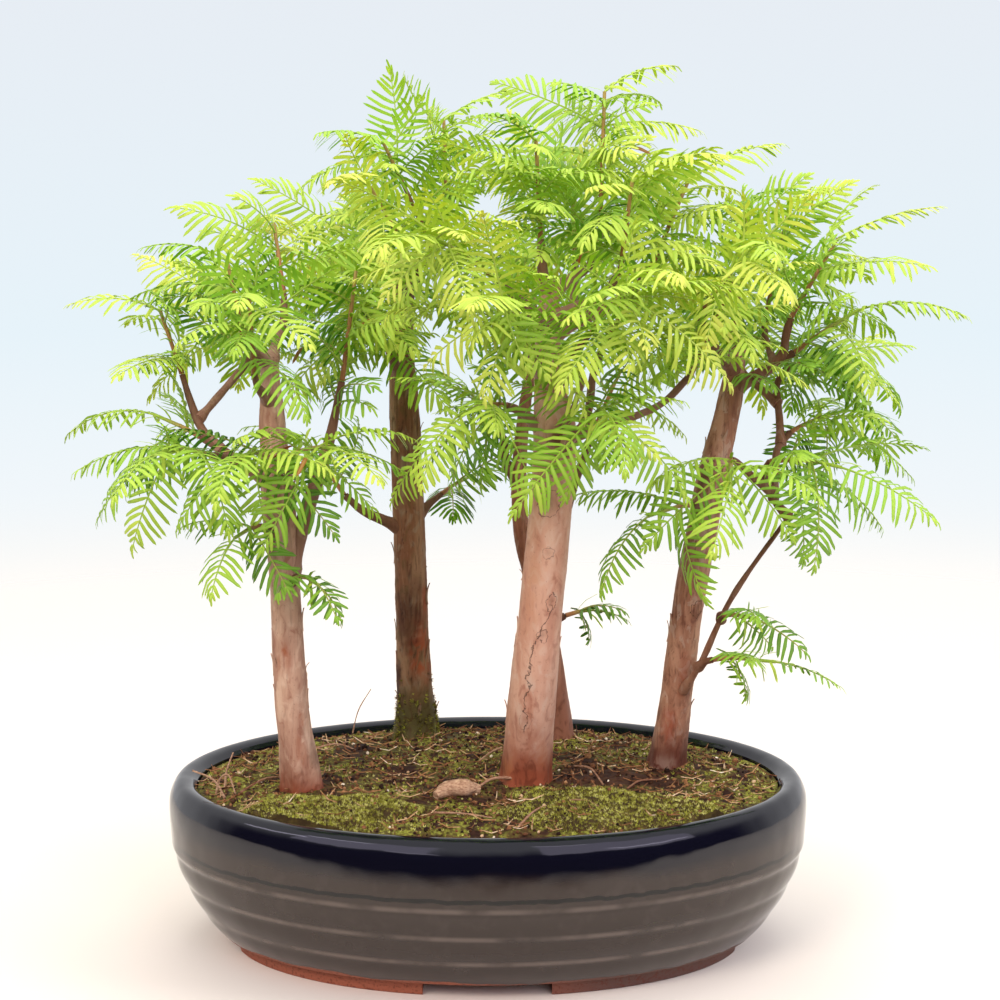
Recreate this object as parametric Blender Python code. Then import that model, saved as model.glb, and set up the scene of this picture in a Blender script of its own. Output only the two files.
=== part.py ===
"""A dawn redwood forest in an oval pot: five trunks with their limbs and leafy shoots, soil and moss.

Metres, +Z up. Every place below is measured from the middle of the pot, on the ground. The empty
that all pieces hang on moves the pot, so that the origin lies under the middle of the whole forest.
"""

import math
import random
from dataclasses import dataclass

import bmesh
import bpy
from mathutils import Matrix, Vector
from mathutils.bvhtree import BVHTree

MM = 0.001
UP = Vector((0, 0, 1))
POT_PLACE = Vector((-10, 2, 0)) * MM
GAP = 0.3 * MM

# Pot: an oval, its widest outline and how far each height steps in from that outline.
POT_HALF_LENGTH = 141 * MM
POT_HALF_WIDTH = 103 * MM
POT_HEIGHT = 75 * MM
POT_SIDES = 36
FLOOR_TOP = 12 * MM
FOOT_HEIGHT = 6.5 * MM
FOOT_IN = 28 * MM
FOOT_THICK = 13 * MM
FOOT_TAPER = 1.5 * MM
UNDER_FLOOR = 6 * MM
GLAZE_END = (21.5 * MM, 7.5 * MM)
RIDGE_HEIGHTS = (46 * MM, 33 * MM, 20 * MM)
RIDGE_INSETS = (1.2 * MM, 5.4 * MM, 12.2 * MM)
RIDGE_STEP = (1.5 * MM, 2.2 * MM)
RIM = (
    (0.3 * MM, 64 * MM), (1.8 * MM, 71 * MM), (5 * MM, POT_HEIGHT), (9.5 * MM, POT_HEIGHT - 0.4 * MM),
)
INNER_WALL = ((12.5 * MM, 72 * MM), (13.5 * MM, 46 * MM), (26 * MM, 17 * MM), (34 * MM, FLOOR_TOP))
NOTCH_HEIGHT = 5.5 * MM
FRONT_NOTCH_WIDTH = 54 * MM
SIDE_NOTCH_WIDTH = 44 * MM
DRAIN_DIAMETER = 14 * MM
DRAIN_OUT = 55 * MM
DRAIN_SIDES = 12

# Drain mesh: a square of plastic lattice over each drain hole.
SCREEN_SIDE = 30 * MM
SCREEN_THICK = 1 * MM
SCREEN_BAR = 2.6 * MM
SCREEN_HOLES = 2

# Soil: it fills the pot to a little under the rim and rises towards the middle.
SOIL_EDGE = 69.5 * MM
SOIL_RISE = 7 * MM
SOIL_CLEAR = 0.5 * MM
SOIL_BASE_INSET = 32.5 * MM
SOIL_RINGS = (0.62, 0.25)
SOIL_BOTTOM = FLOOR_TOP + 2 * GAP + SCREEN_THICK
HOLE_CLEAR = 0.35 * MM

# Fronds: a rib with a row of leaflets on each side.
FROND_LENGTH = 50 * MM
LONG_FROND = 45 * MM
FEW_PAIRS = 3
MANY_PAIRS = 4
LEAFLET_LENGTH = 14.5 * MM
LEAFLET_SWELL = (0.24, 0.58, 0.7)
LEAFLET_LEAN = 70
LEAFLET_CLOSING = 22
RIB_WIDTH = 0.9 * MM
RIB_HEIGHT = 1.3 * MM
FIRST_LEAFLET = 0.14
LAST_LEAFLET = 0.86
TERMINAL_LEAN = math.radians(24)
LEAFLET_DIP = 0.16
TERMINAL_SHARE = 0.86
TERMINAL_BEND = 1.1
RIB_POINTS = 3

# How a frond leaves its stem. Each stray is in degrees, for the first try and what later tries add.
FROND_TRIES = 60
FROND_LEAN = 58
LEAN_STRAY = (8, 26)
SWING_STRAY = (8, 34)
TILT_STRAY = (8, 26)
ROLL_STRAY = (16, 44)
FROND_DROOP = 40
DROOP_STRAY = (16, 20)
FROND_SINK = 0.12
FROND_SIZES = (0.78, 1.1)
FROND_SHRINK = 0.38
FROND_CLEAR = 0.35 * MM

# Shoots: a square green stem with a pair of fronds at every joint and one frond at its end.
STEM_BASE = 1.15 * MM
STEM_TIP = 0.75 * MM
STEM_BOW = 0.05
STEM_TRIES = 40
STEM_STRAY = 14 * MM
JOINT_SPACING = 15 * MM
JOINT_LENGTH = 2.2 * MM
FIRST_JOINT = 7 * MM
STEM_GAP = GAP + 0.1 * MM
UPRIGHT = 0.75
TURN_UPRIGHT = 90
TURN_LEVEL = 62
TURN_STRAY = 8
LEAST_LEVEL = 0.3

# Limbs: they leave the nearest wood below and end where a shoot starts.
LIMB_TIP = 1.5 * MM
LIMB_SLOPE = 0.6
LOWEST_LIMB = 105 * MM
LIMB_WINDOW = 2 * MM
TOO_HIGH_COST = 2.5
LIMB_RISE = 0.5
LEAST_SPREAD = 0.3
LIMB_HANDLES = (0.35, 0.3)
LEAST_LIMB_BASE = 1.15
LIMB_BASE_SHARE = 0.62
LIMB_TAPER = 0.045
TWIG_TAPER = (1.1, 0.6)
WOOD_STEP = 2 * MM
LIMB_END_SAMPLES = 4
LIMB_SIDES = 4
LIMB_RINGS = 3
TRUNK_SIDES = 10
STEEP = 0.8


def mm(*values):
    """A place given in millimetres."""
    return Vector(values) * MM


@dataclass(frozen=True)
class Shoot:
    """A leafy shoot: its start and tip, the size of its fronds, and where its limb leaves the trunk."""

    root: tuple
    tip: tuple
    size: float = 1.0
    limb_from: float = None


@dataclass(frozen=True)
class Tree:
    """A trunk, as places with radii from the roots up, its twigs and its leafy shoots."""

    name: str
    trunk: tuple
    shoots: tuple
    twigs: tuple = ()
    dead_twigs: tuple = ()


TREES = (
    Tree(
        "left",
        (
            (-77, -18, 48, 8), (-80, -20, 69, 9.6), (-81, -22, 82, 8.5), (-84, -26, 112, 7.2),
            (-86, -30, 170, 6.4), (-88, -30, 203, 7.1), (-90, -30, 232, 5.6), (-91, -29, 262, 3.8),
        ),
        (
            Shoot((-101, -36, 272), (-107, -36, 303)),
            Shoot((-88, 8, 286), (-93, 20, 316)),
            Shoot((-95, -52, 258), (-95, -66, 290)),
            Shoot((-128, -26, 255), (-136, -30, 282), size=0.85),
            Shoot((-120, -31, 229), (-140, -26, 238)),
            Shoot((-114, -48, 224), (-129, -80, 230)),
            Shoot((-90, -50, 223), (-96, -90, 230)),
            Shoot((-80, -46, 224), (-60, -78, 231)),
            Shoot((-61, -26, 252), (-55, -20, 298), limb_from=168),
            Shoot((-104, 18, 266), (-122, 55, 281)),
            Shoot((-95, -42, 193), (-103, -63, 192), size=0.75),
            Shoot((-79, -38, 171), (-70, -55, 171), size=0.6),
        ),
    ),
    Tree(
        "back_left",
        (
            (-33, 68, 48, 9), (-34, 68, 70, 10.6), (-34, 67, 84, 9.2), (-35, 62, 106, 8),
            (-36, 56, 160, 7.4), (-38, 55, 222, 7), (-39, 55, 262, 5.4), (-37, 54, 292, 3.8),
        ),
        (
            Shoot((-27, 50, 308), (-46, 40, 350)),
            Shoot((-32, 28, 296), (-50, 4, 332)),
            Shoot((-19, 62, 320), (-20, 64, 360)),
            Shoot((-48, 85, 290), (-75, 110, 310)),
            Shoot((-65, 45, 192), (-84, 56, 216), size=0.85),
            Shoot((-22, 67, 189), (-6, 86, 196), size=0.85),
            Shoot((-45, 27, 262), (-54, -14, 282)),
        ),
    ),
    Tree(
        "centre",
        (
            (14, -16, 46, 10), (16, -17, 69, 11.8), (17, -18, 84, 10.8), (19, -26, 115, 10.3),
            (23, -33, 160, 9.2), (27, -35, 205, 9), (28, -34, 232, 9), (25, -31, 258, 5.8),
            (26, -30, 292, 4.2),
        ),
        (
            Shoot((47, -15, 308), (49, -10, 372)),
            Shoot((22, -37, 312), (20, -37, 352)),
            Shoot((54, -50, 300), (58, -62, 336)),
            Shoot((2, -56, 298), (-22, -92, 316)),
            Shoot((83, -50, 257), (99, -62, 296), limb_from=226),
            Shoot((45, -72, 268), (60, -104, 300)),
            Shoot((14, -66, 276), (6, -106, 292)),
            Shoot((8, -43, 244), (-12, -80, 244)),
            Shoot((43, -55, 240), (46, -92, 248)),
            Shoot((38, 15, 302), (37, 45, 342)),
            Shoot((68, -20, 298), (84, -16, 335)),
        ),
        dead_twigs=(((26, -32, 250), (39, -46, 257), (34, -51, 240), (27, -50, 215)),),
    ),
    Tree(
        "back_centre",
        (
            (34, 64, 50, 4.6), (34, 63, 74, 5.6), (31, 56, 105, 4.6), (25, 48, 138, 4.3),
            (16, 45, 170, 3.8), (14, 45, 200, 3.4), (16, 47, 228, 2.9), (20, 56, 254, 2.3),
        ),
        (
            Shoot((4, 44, 226), (-12, 64, 240), limb_from=196),
            Shoot((47, 45, 220), (60, 62, 246), limb_from=138),
            Shoot((22, 70, 268), (20, 104, 294)),
            Shoot((46, 72, 262), (70, 102, 290)),
            Shoot((35, 46, 136), (47, 49, 138), size=0.5),
        ),
    ),
    Tree(
        "right",
        (
            (76, 13, 48, 7.4), (79, 14, 69, 8.9), (81, 12, 84, 7.8), (84, 7, 112, 7),
            (88, 0, 153, 6.9), (97, 0, 206, 6.6), (104, 0, 238, 5.4), (108, 0, 266, 3.8),
        ),
        (
            Shoot((106, -2, 271), (111, 4, 324)),
            Shoot((122, 25, 274), (132, 34, 320)),
            Shoot((129, -8, 277), (148, -10, 311)),
            Shoot((89, -45, 284), (104, -70, 309)),
            Shoot((131, -5, 262), (157, -13, 281)),
            Shoot((132, 27, 252), (164, 43, 253)),
            Shoot((133, 20, 224), (160, 42, 231)),
            Shoot((120, -20, 217), (147, -42, 218)),
            Shoot((102, -34, 220), (98, -74, 216)),
            Shoot((111, 45, 254), (106, 86, 278)),
            Shoot((88, -12, 197), (68, -28, 195)),
            Shoot((101, -17, 150), (115, -26, 150), size=0.7),
            Shoot((97, -16, 130), (124, -20, 130), size=0.7),
        ),
        twigs=(((86, 0, 112), (93, -10, 128), (106, -13, 158), (130, -14, 194)),),
    ),
)

# Moss: the middle and half sizes of each patch on the soil.
MOSS_PATCHES = (
    ("moss_left", mm(-68, -58), mm(36, 24), 0.5),
    ("moss_right", mm(52, -54), mm(50, 24), 1.7),
)
MOSS_THICK = 3.2 * MM
MOSS_WAVES = ((3, 0.14, 1), (7, 0.08, 2))
MOSS_LUMPS = (5, 0.3, 9)
MOSS_TOP = 1.25
MOSS_EDGE_IN = 0.97
MOSS_CLEAR = 2 * MM
MOSS_SIDES = 18
MOSS_RINGS = (1.0, 0.6)

# Root knuckle: a bent stub on the soil beside the centre trunk.
KNUCKLE_POINTS = (mm(-4, -37), mm(-10, -40), mm(-17, -40), mm(-22, -44))
KNUCKLE_RADII = (2.2 * MM, 3.8 * MM, 3.4 * MM, 1.8 * MM)
KNUCKLE_SIDES = 7

COLOURS = {
    "glaze": ((0.012, 0.013, 0.03), 0.12),
    "plastic": ((0.02, 0.02, 0.02), 0.6),
    "soil": ((0.06, 0.035, 0.02), 0.95),
    "moss": ((0.13, 0.18, 0.03), 0.95),
    "bark": ((0.3, 0.15, 0.1), 0.85),
    "dead_wood": ((0.35, 0.24, 0.16), 0.9),
    "foliage": ((0.28, 0.55, 0.05), 0.5),
}


def clear_scene():
    for thing in list(bpy.data.objects):
        bpy.data.objects.remove(thing, do_unlink=True)


def material(name):
    """The Principled material of one kind of piece, made once."""
    found = bpy.data.materials.get(name)
    if found:
        return found
    colour, roughness = COLOURS[name]
    made = bpy.data.materials.new(name)
    made.use_nodes = True
    shader = made.node_tree.nodes["Principled BSDF"]
    shader.inputs["Base Color"].default_value = (*colour, 1)
    shader.inputs["Roughness"].default_value = roughness
    shader.inputs["Metallic"].default_value = 0
    made.diffuse_color = (*colour, 1)
    return made


def make_object(name, points, faces, finish, smooth=True):
    """A mesh object with its faces pointing out, in the scene's collection."""
    mesh = bpy.data.meshes.new(name)
    mesh.from_pydata([tuple(point) for point in points], [], faces)
    shaped = bmesh.new()
    shaped.from_mesh(mesh)
    bmesh.ops.recalc_face_normals(shaped, faces=shaped.faces)
    shaped.to_mesh(mesh)
    shaped.free()
    if smooth:
        mesh.shade_smooth()
        mesh.set_sharp_from_angle(angle=math.radians(40))
    mesh.materials.append(material(finish))
    made = bpy.data.objects.new(name, mesh)
    bpy.context.scene.collection.objects.link(made)
    return made


def as_cutter(piece):
    piece.hide_render = True
    piece.display_type = "WIRE"
    return piece


def cut(piece, cutter):
    """Take a cutter's shape out of a piece with a Boolean modifier."""
    modifier = piece.modifiers.new("Cut " + cutter.name, "BOOLEAN")
    modifier.operation = "DIFFERENCE"
    modifier.solver = "EXACT"
    modifier.object = as_cutter(cutter)


def fuse(piece, parts):
    """Join other objects to a piece by one Boolean union on their collection, and remove them."""
    group = bpy.data.collections.new("parts of " + piece.name)
    bpy.context.scene.collection.children.link(group)
    for part in parts:
        bpy.context.scene.collection.objects.unlink(part)
        group.objects.link(part)
    modifier = piece.modifiers.new("Union", "BOOLEAN")
    modifier.operation = "UNION"
    modifier.solver = "EXACT"
    modifier.operand_type = "COLLECTION"
    modifier.collection = group
    evaluated = piece.evaluated_get(bpy.context.evaluated_depsgraph_get())
    fused = bpy.data.meshes.new_from_object(evaluated)
    piece.modifiers.remove(modifier)
    piece.data = fused
    for part in parts:
        bpy.data.objects.remove(part, do_unlink=True)
    bpy.data.collections.remove(group)


def skin(rings):
    """Points and faces of a closed skin over rings of equal count, with an end face on each."""
    points = [point for ring in rings for point in ring]
    count = len(rings[0])
    faces = [tuple(reversed(range(count)))]
    for level in range(len(rings) - 1):
        for side in range(count):
            after = (side + 1) % count
            low = level * count
            faces.append((low + side, low + after, low + count + after, low + count + side))
    faces.append(tuple(range(len(points) - count, len(points))))
    return points, faces


def oval(inset, height, sides=POT_SIDES):
    """A ring of the pot's plan, stepped in from its widest outline."""
    ring = []
    for side in range(sides):
        turn = math.tau * side / sides
        x = (POT_HALF_LENGTH - inset) * math.cos(turn)
        y = (POT_HALF_WIDTH - inset) * math.sin(turn)
        ring.append(Vector((x, y, height)))
    return ring


def wall_profile():
    """The pot's section from its underside round the foot, up the wall and down inside."""
    profile = [
        (FOOT_IN + FOOT_THICK, UNDER_FLOOR), (FOOT_IN + FOOT_THICK, 0),
        (FOOT_IN, 0), (FOOT_IN - FOOT_TAPER, FOOT_HEIGHT), GLAZE_END,
    ]
    step_in, step_down = RIDGE_STEP
    for inset, height in sorted(zip(RIDGE_INSETS, RIDGE_HEIGHTS), reverse=True):
        profile.append((inset + step_in, height - step_down))
        profile.append((inset, height))
    return profile + list(RIM) + list(INNER_WALL)


def notch_box(name, size):
    """A cutter box round the origin."""
    across, deep, high = (side / 2 for side in size)
    corners = ((-across, -deep), (across, -deep), (across, deep), (-across, deep))
    rings = [[Vector((x, y, z)) for x, y in corners] for z in (-high, high)]
    return make_object(name, *skin(rings), "plastic", smooth=False)


def drain_hole(number, middle_x):
    """A cutter cylinder through the pot's floor."""
    rings = []
    for height in (0, 2 * FLOOR_TOP):
        ring = []
        for side in range(DRAIN_SIDES):
            turn = math.tau * side / DRAIN_SIDES
            reach = DRAIN_DIAMETER / 2
            ring.append(Vector((middle_x + reach * math.cos(turn), reach * math.sin(turn), height)))
        rings.append(ring)
    return make_object(f"drain hole {number}", *skin(rings), "plastic")


def make_pot():
    """The glazed pot, its foot ring notched into four feet, with two drain holes."""
    rings = [oval(inset, height) for inset, height in wall_profile()]
    pot = make_object("pot", *skin(rings), "glaze")
    depth = 2 * NOTCH_HEIGHT
    cut(pot, notch_box("front notches", (FRONT_NOTCH_WIDTH, 3 * POT_HALF_WIDTH, depth)))
    cut(pot, notch_box("side notches", (3 * POT_HALF_LENGTH, SIDE_NOTCH_WIDTH, depth)))
    for number, side in enumerate((-1, 1), start=1):
        cut(pot, drain_hole(number, side * DRAIN_OUT))
    return pot


def make_drain_mesh(number, middle_x):
    """A square lattice that lies on the pot's floor over a drain hole."""
    lattice = bmesh.new()
    cell = (SCREEN_SIDE - SCREEN_BAR) / SCREEN_HOLES
    lines = []
    for i in range(SCREEN_HOLES + 1):
        lines += [i * cell, i * cell + SCREEN_BAR]
    base = Vector((middle_x - SCREEN_SIDE / 2, -SCREEN_SIDE / 2, FLOOR_TOP + GAP))
    grid = [[lattice.verts.new(base + Vector((x, y, 0))) for x in lines] for y in lines]
    for row in range(len(lines) - 1):
        for column in range(len(lines) - 1):
            if row % 2 and column % 2:
                continue
            near, far = grid[row], grid[row + 1]
            lattice.faces.new((near[column], near[column + 1], far[column + 1], far[column]))
    raised = bmesh.ops.extrude_face_region(lattice, geom=lattice.faces[:])
    top = [part for part in raised["geom"] if isinstance(part, bmesh.types.BMVert)]
    bmesh.ops.translate(lattice, verts=top, vec=(0, 0, SCREEN_THICK))
    points = [vertex.co.copy() for vertex in lattice.verts]
    lattice.verts.index_update()
    faces = [tuple(vertex.index for vertex in face.verts) for face in lattice.faces]
    lattice.free()
    return make_object(f"drain_mesh_{number}", points, faces, "plastic", smooth=False)


def soil_height(x, y):
    """The soil's surface: level at the pot's wall and mounded in the middle."""
    out = (x / POT_HALF_LENGTH) ** 2 + (y / POT_HALF_WIDTH) ** 2
    return SOIL_EDGE + SOIL_RISE * max(0, 1 - out)


def within_pot(x, y):
    """A place on the soil, drawn in where it would touch the pot's wall."""
    inset = INNER_WALL[0][0] + MOSS_CLEAR
    out = math.hypot(x / (POT_HALF_LENGTH - inset), y / (POT_HALF_WIDTH - inset))
    return (x / out, y / out) if out > 1 else (x, y)


def make_soil():
    """The soil, clear of the pot's wall, with a hole for each trunk."""
    rings = [oval(SOIL_BASE_INSET, SOIL_BOTTOM)]
    for inset, height in reversed(INNER_WALL[1:3]):
        rings.append(oval(inset + SOIL_CLEAR, height))
    edge = oval(INNER_WALL[0][0] + SOIL_CLEAR, 0)
    for share in (1, *SOIL_RINGS):
        ring = [Vector((point.x * share, point.y * share, 0)) for point in edge]
        for point in ring:
            point.z = soil_height(point.x, point.y)
        rings.append(ring)
    soil = make_object("soil", *skin(rings), "soil")
    for tree in TREES:
        points, radii = trunk_line(tree)
        radii = [radius + HOLE_CLEAR for radius in radii]
        points[0] = points[0] - UP * HOLE_CLEAR
        cut(soil, make_object("hole " + tree.name, *tube(points, radii, TRUNK_SIDES), "soil"))
    return soil


def make_moss(name, middle, half, phase):
    """A low cushion of moss with a wavy outline, lying on the soil."""
    def ring(share, thick):
        made = []
        for side in range(MOSS_SIDES):
            turn = math.tau * side / MOSS_SIDES
            wave = 1
            for count, high, shift in MOSS_WAVES:
                wave += high * math.sin(count * turn + shift * phase)
            x = middle.x + half.x * share * wave * math.cos(turn)
            y = middle.y + half.y * share * wave * math.sin(turn)
            x, y = within_pot(x, y)
            count, high, shift = MOSS_LUMPS
            lump = 1 + high * math.sin(count * turn + phase + shift * share)
            made.append(Vector((x, y, soil_height(x, y) + 2 * GAP + thick * lump)))
        return made

    under = [ring(share, 0) for share in reversed(MOSS_RINGS)]
    over = [ring(share * MOSS_EDGE_IN, MOSS_THICK * (MOSS_TOP - share)) for share in MOSS_RINGS]
    return make_object(name, *skin(under + over), "moss")


def make_knuckle():
    """A bent root stub that lies on the soil."""
    points = []
    for place, radius in zip(KNUCKLE_POINTS, KNUCKLE_RADII):
        points.append(Vector((place.x, place.y, soil_height(place.x, place.y) + radius + 2 * GAP)))
    return make_object("root_knuckle", *tube(points, KNUCKLE_RADII, KNUCKLE_SIDES), "dead_wood")


def frames(points):
    """A direction and a side vector at each point of a line, turning as little as they can."""
    found = []
    side = None
    for index, point in enumerate(points):
        before = points[max(0, index - 1)]
        after = points[min(len(points) - 1, index + 1)]
        along = (after - before).normalized()
        if side is None:
            side = along.cross(UP if abs(along.z) < STEEP else Vector((0, 1, 0)))
        side = (side - along * side.dot(along)).normalized()
        found.append((along, side))
    return found


def tube(points, radii, sides):
    """Points and faces of a closed round tube through a line of points."""
    rings = []
    for point, radius, (along, side) in zip(points, radii, frames(points)):
        other = along.cross(side)
        turns = [math.tau * i / sides for i in range(sides)]
        rings.append([point + (side * math.cos(a) + other * math.sin(a)) * radius for a in turns])
    return skin(rings)


def trunk_line(tree):
    """The points of a trunk's line, with their radii."""
    points = [mm(*station[:3]) for station in tree.trunk]
    return points, [station[3] * MM for station in tree.trunk]


def bezier(points, t):
    """The place at a share t of a cubic curve with four control points."""
    a, b, c, d = points
    s = 1 - t
    return a * s ** 3 + b * (3 * s * s * t) + c * (3 * s * t * t) + d * t ** 3


class Space:
    """Everything grown so far, so that nothing new is grown through it."""

    def __init__(self):
        self.taken = []

    def add(self, points, faces, owner):
        middle, reach = ball(points)
        self.taken.append((middle, reach, BVHTree.FromPolygons(points, faces), owner))

    def is_free(self, points, faces, passing=()):
        """Whether a new piece is clear of all that is there, except of the owners it may touch."""
        middle, reach = ball(points)
        near = []
        for other_middle, other_reach, tree, owner in self.taken:
            if owner in passing:
                continue
            if (middle - other_middle).length < reach + other_reach + FROND_CLEAR:
                near.append(tree)
        if not near:
            return True
        shape = BVHTree.FromPolygons(points, faces)
        probes = list(points)
        for face in faces:
            probes.append((points[face[0]] + points[face[-1]]) / 2)
        for tree in near:
            if tree.overlap(shape):
                return False
        for tree in near:
            for probe in probes:
                if tree.find_nearest(probe, FROND_CLEAR)[0] is not None:
                    return False
        return True


def ball(points):
    """The middle and radius of a ball round some points."""
    low = Vector(min(point[i] for point in points) for i in range(3))
    high = Vector(max(point[i] for point in points) for i in range(3))
    middle = (low + high) / 2
    return middle, max((point - middle).length for point in points)


@dataclass
class Limb:
    """A branch of the wood: the points of its line, with their radii."""

    points: list
    radii: list

    def mesh(self):
        return tube(self.points, self.radii, LIMB_SIDES)


def limb_start(shoot, wood):
    """The place on the tree's wood that the limb to a shoot grows from, and its radius there."""
    root = mm(*shoot.root)
    best = None
    for point, radius in wood:
        if shoot.limb_from is not None and abs(point.z - shoot.limb_from * MM) > LIMB_WINDOW:
            continue
        flat = math.hypot(root.x - point.x, root.y - point.y)
        too_high = max(0, point.z + LIMB_SLOPE * flat - root.z)
        cost = (root - point).length + TOO_HIGH_COST * too_high
        if best is None or cost < best[0]:
            best = (cost, point, radius)
    return best[1], best[2]


def samples(points, radii):
    """Places along a line of points, a small step apart, with their radii."""
    found = []
    for index in range(len(points) - 1):
        length = (points[index + 1] - points[index]).length
        steps = max(1, round(length / WOOD_STEP))
        for step in range(steps):
            share = step / steps
            radius = radii[index] * (1 - share) + radii[index + 1] * share
            found.append((points[index].lerp(points[index + 1], share), radius))
    return found


def grow_limbs(tree):
    """The limbs of a tree, each from the nearest wood below to the start of its shoot."""
    points, radii = trunk_line(tree)
    wood = [sample for sample in samples(points, radii) if sample[0].z > LOWEST_LIMB]
    limbs = []
    for twig in tree.twigs + tree.dead_twigs:
        line = [mm(*place) for place in twig]
        thick, slim = TWIG_TAPER
        thin = [LIMB_TIP * (thick + (slim - thick) * i / (len(line) - 1)) for i in range(len(line))]
        limbs.append(Limb(line, thin))
        if twig in tree.twigs:
            wood += samples(line, thin)
    ends = {}
    for shoot in sorted(tree.shoots, key=lambda shoot: nearest(mm(*shoot.root), wood)):
        root = mm(*shoot.root)
        start, thick = limb_start(shoot, wood)
        heading = (mm(*shoot.tip) - root).normalized()
        span = (root - start).length
        near, far = LIMB_HANDLES
        curve = (start, start + limb_heading(start, root) * span * near, root - heading * span * far, root)
        base = max(LIMB_TIP * LEAST_LIMB_BASE, min(thick * LIMB_BASE_SHARE, LIMB_TIP + span * LIMB_TAPER))
        line = [bezier(curve, i / LIMB_RINGS) for i in range(LIMB_RINGS + 1)]
        thin = [base + (LIMB_TIP - base) * i / LIMB_RINGS for i in range(LIMB_RINGS + 1)]
        limbs.append(Limb(line, thin))
        wood += samples(line, thin)[:-LIMB_END_SAMPLES]
        ends[shoot] = (line[-1], (line[-1] - line[-2]).normalized())
    return limbs, ends


def limb_heading(start, root):
    """The direction in which a limb leaves the wood: out and up, or straight where it is steep."""
    flat = Vector((root.x - start.x, root.y - start.y, 0))
    if flat.length > LEAST_SPREAD * (root - start).length:
        return (flat.normalized() + UP * LIMB_RISE).normalized()
    return (root - start).normalized()


def nearest(place, wood):
    """How far a place is from the nearest wood."""
    return min((place - point).length for point, _ in wood)


@dataclass(frozen=True)
class Frond:
    """One flat spray: an arched rib with a row of leaflets on each side."""

    root: Vector
    along: Vector
    up: Vector
    length: float
    droop: float
    pairs: int

    def rib(self, share):
        """The rib's place, direction and upward normal a share of the way along it."""
        turn = self.droop * share
        arc = self.length / self.droop
        place = self.root + self.along * (arc * math.sin(turn)) - self.up * (arc * (1 - math.cos(turn)))
        along = self.along * math.cos(turn) - self.up * math.sin(turn)
        return place, along, self.along * math.sin(turn) + self.up * math.cos(turn)

    def leaflet_tip(self, share, side, lean):
        """The tip of the leaflet whose root is at a share of the rib, on one side."""
        place, along, up = self.rib(share)
        across = along.cross(up) * side
        first, more, power = LEAFLET_SWELL
        reach = LEAFLET_LENGTH * math.sqrt(self.length / FROND_LENGTH)
        reach *= math.sin(math.pi * (first + more * share)) ** power
        return place + (along * math.cos(lean) + across * math.sin(lean) - up * LEAFLET_DIP) * reach


def leaflet_lean(share):
    """The angle between a leaflet and the rib, closing towards the tip."""
    return math.radians(LEAFLET_LEAN - LEAFLET_CLOSING * share)


def frond_mesh(frond, base):
    """Points and faces of a frond that grows out of the four corners in base."""
    points = [corner.copy() for corner in base]
    pairs = frond.pairs
    sections = []
    for number in range(pairs + 1):
        share = FIRST_LEAFLET + (LAST_LEAFLET - FIRST_LEAFLET) * number / pairs
        place, along, up = frond.rib(share)
        across = along.cross(up) * (RIB_WIDTH / 2)
        top = place + up * (RIB_HEIGHT / 2)
        sections.append(tuple(len(points) + i for i in range(RIB_POINTS)))
        points += [top - across, top + across, place - up * (RIB_HEIGHT / 2)]
    faces = stitch(points, (0, 1, 2, 3), sections[0])
    for number in range(pairs):
        left, right, under = sections[number]
        next_left, next_right, next_under = sections[number + 1]
        faces += [(left, right, next_right), (left, next_right, next_left)]
        share = FIRST_LEAFLET + (LAST_LEAFLET - FIRST_LEAFLET) * (number + 0.5) / pairs
        lean = TERMINAL_LEAN if number == pairs - 1 else leaflet_lean(share)
        for side, edge, next_edge in ((-1, left, next_left), (1, right, next_right)):
            tip = len(points)
            points.append(frond.leaflet_tip(share, side, lean))
            faces += [(edge, next_edge, tip), (under, next_under, tip)]
            faces += [(edge, under, tip), (next_edge, next_under, tip)]
    faces.append(sections[-1])
    return points, faces


def stitch(points, first, second):
    """Triangles between two rings of points that may differ in count."""
    axis = middle_of(points, second) - middle_of(points, first)
    rings = [turned(points, ring, axis) for ring in (first, second)]
    corner = points[rings[0][0]]
    start = min(range(len(rings[1])), key=lambda i: (points[rings[1][i]] - corner).length)
    a = rings[0] + rings[0][:1]
    b = rings[1][start:] + rings[1][:start + 1]
    faces = []
    i = j = 0
    while i < len(first) or j < len(second):
        if (i + 0.5) / len(first) < (j + 0.5) / len(second):
            faces.append((a[i], a[i + 1], b[j]))
            i += 1
        else:
            faces.append((a[i], b[j + 1], b[j]))
            j += 1
    return faces


def middle_of(points, ring):
    return sum((points[i] for i in ring), Vector()) / len(ring)


def turned(points, ring, axis):
    """A ring's indices in the order that runs round an axis one way."""
    middle = middle_of(points, ring)
    normal = Vector()
    for i in range(len(ring)):
        normal += (points[ring[i]] - middle).cross(points[ring[(i + 1) % len(ring)]] - middle)
    return list(ring) if normal.dot(axis) > 0 else list(reversed(ring))


@dataclass
class Stem:
    """A shoot's square stem: its rings, and the faces where fronds grow out of it."""

    rings: list
    joints: list
    end: tuple

    def mesh(self, open_faces=()):
        points, faces = skin(self.rings)
        return points, [face for face in faces if tuple(sorted(face)) not in open_faces]


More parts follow.
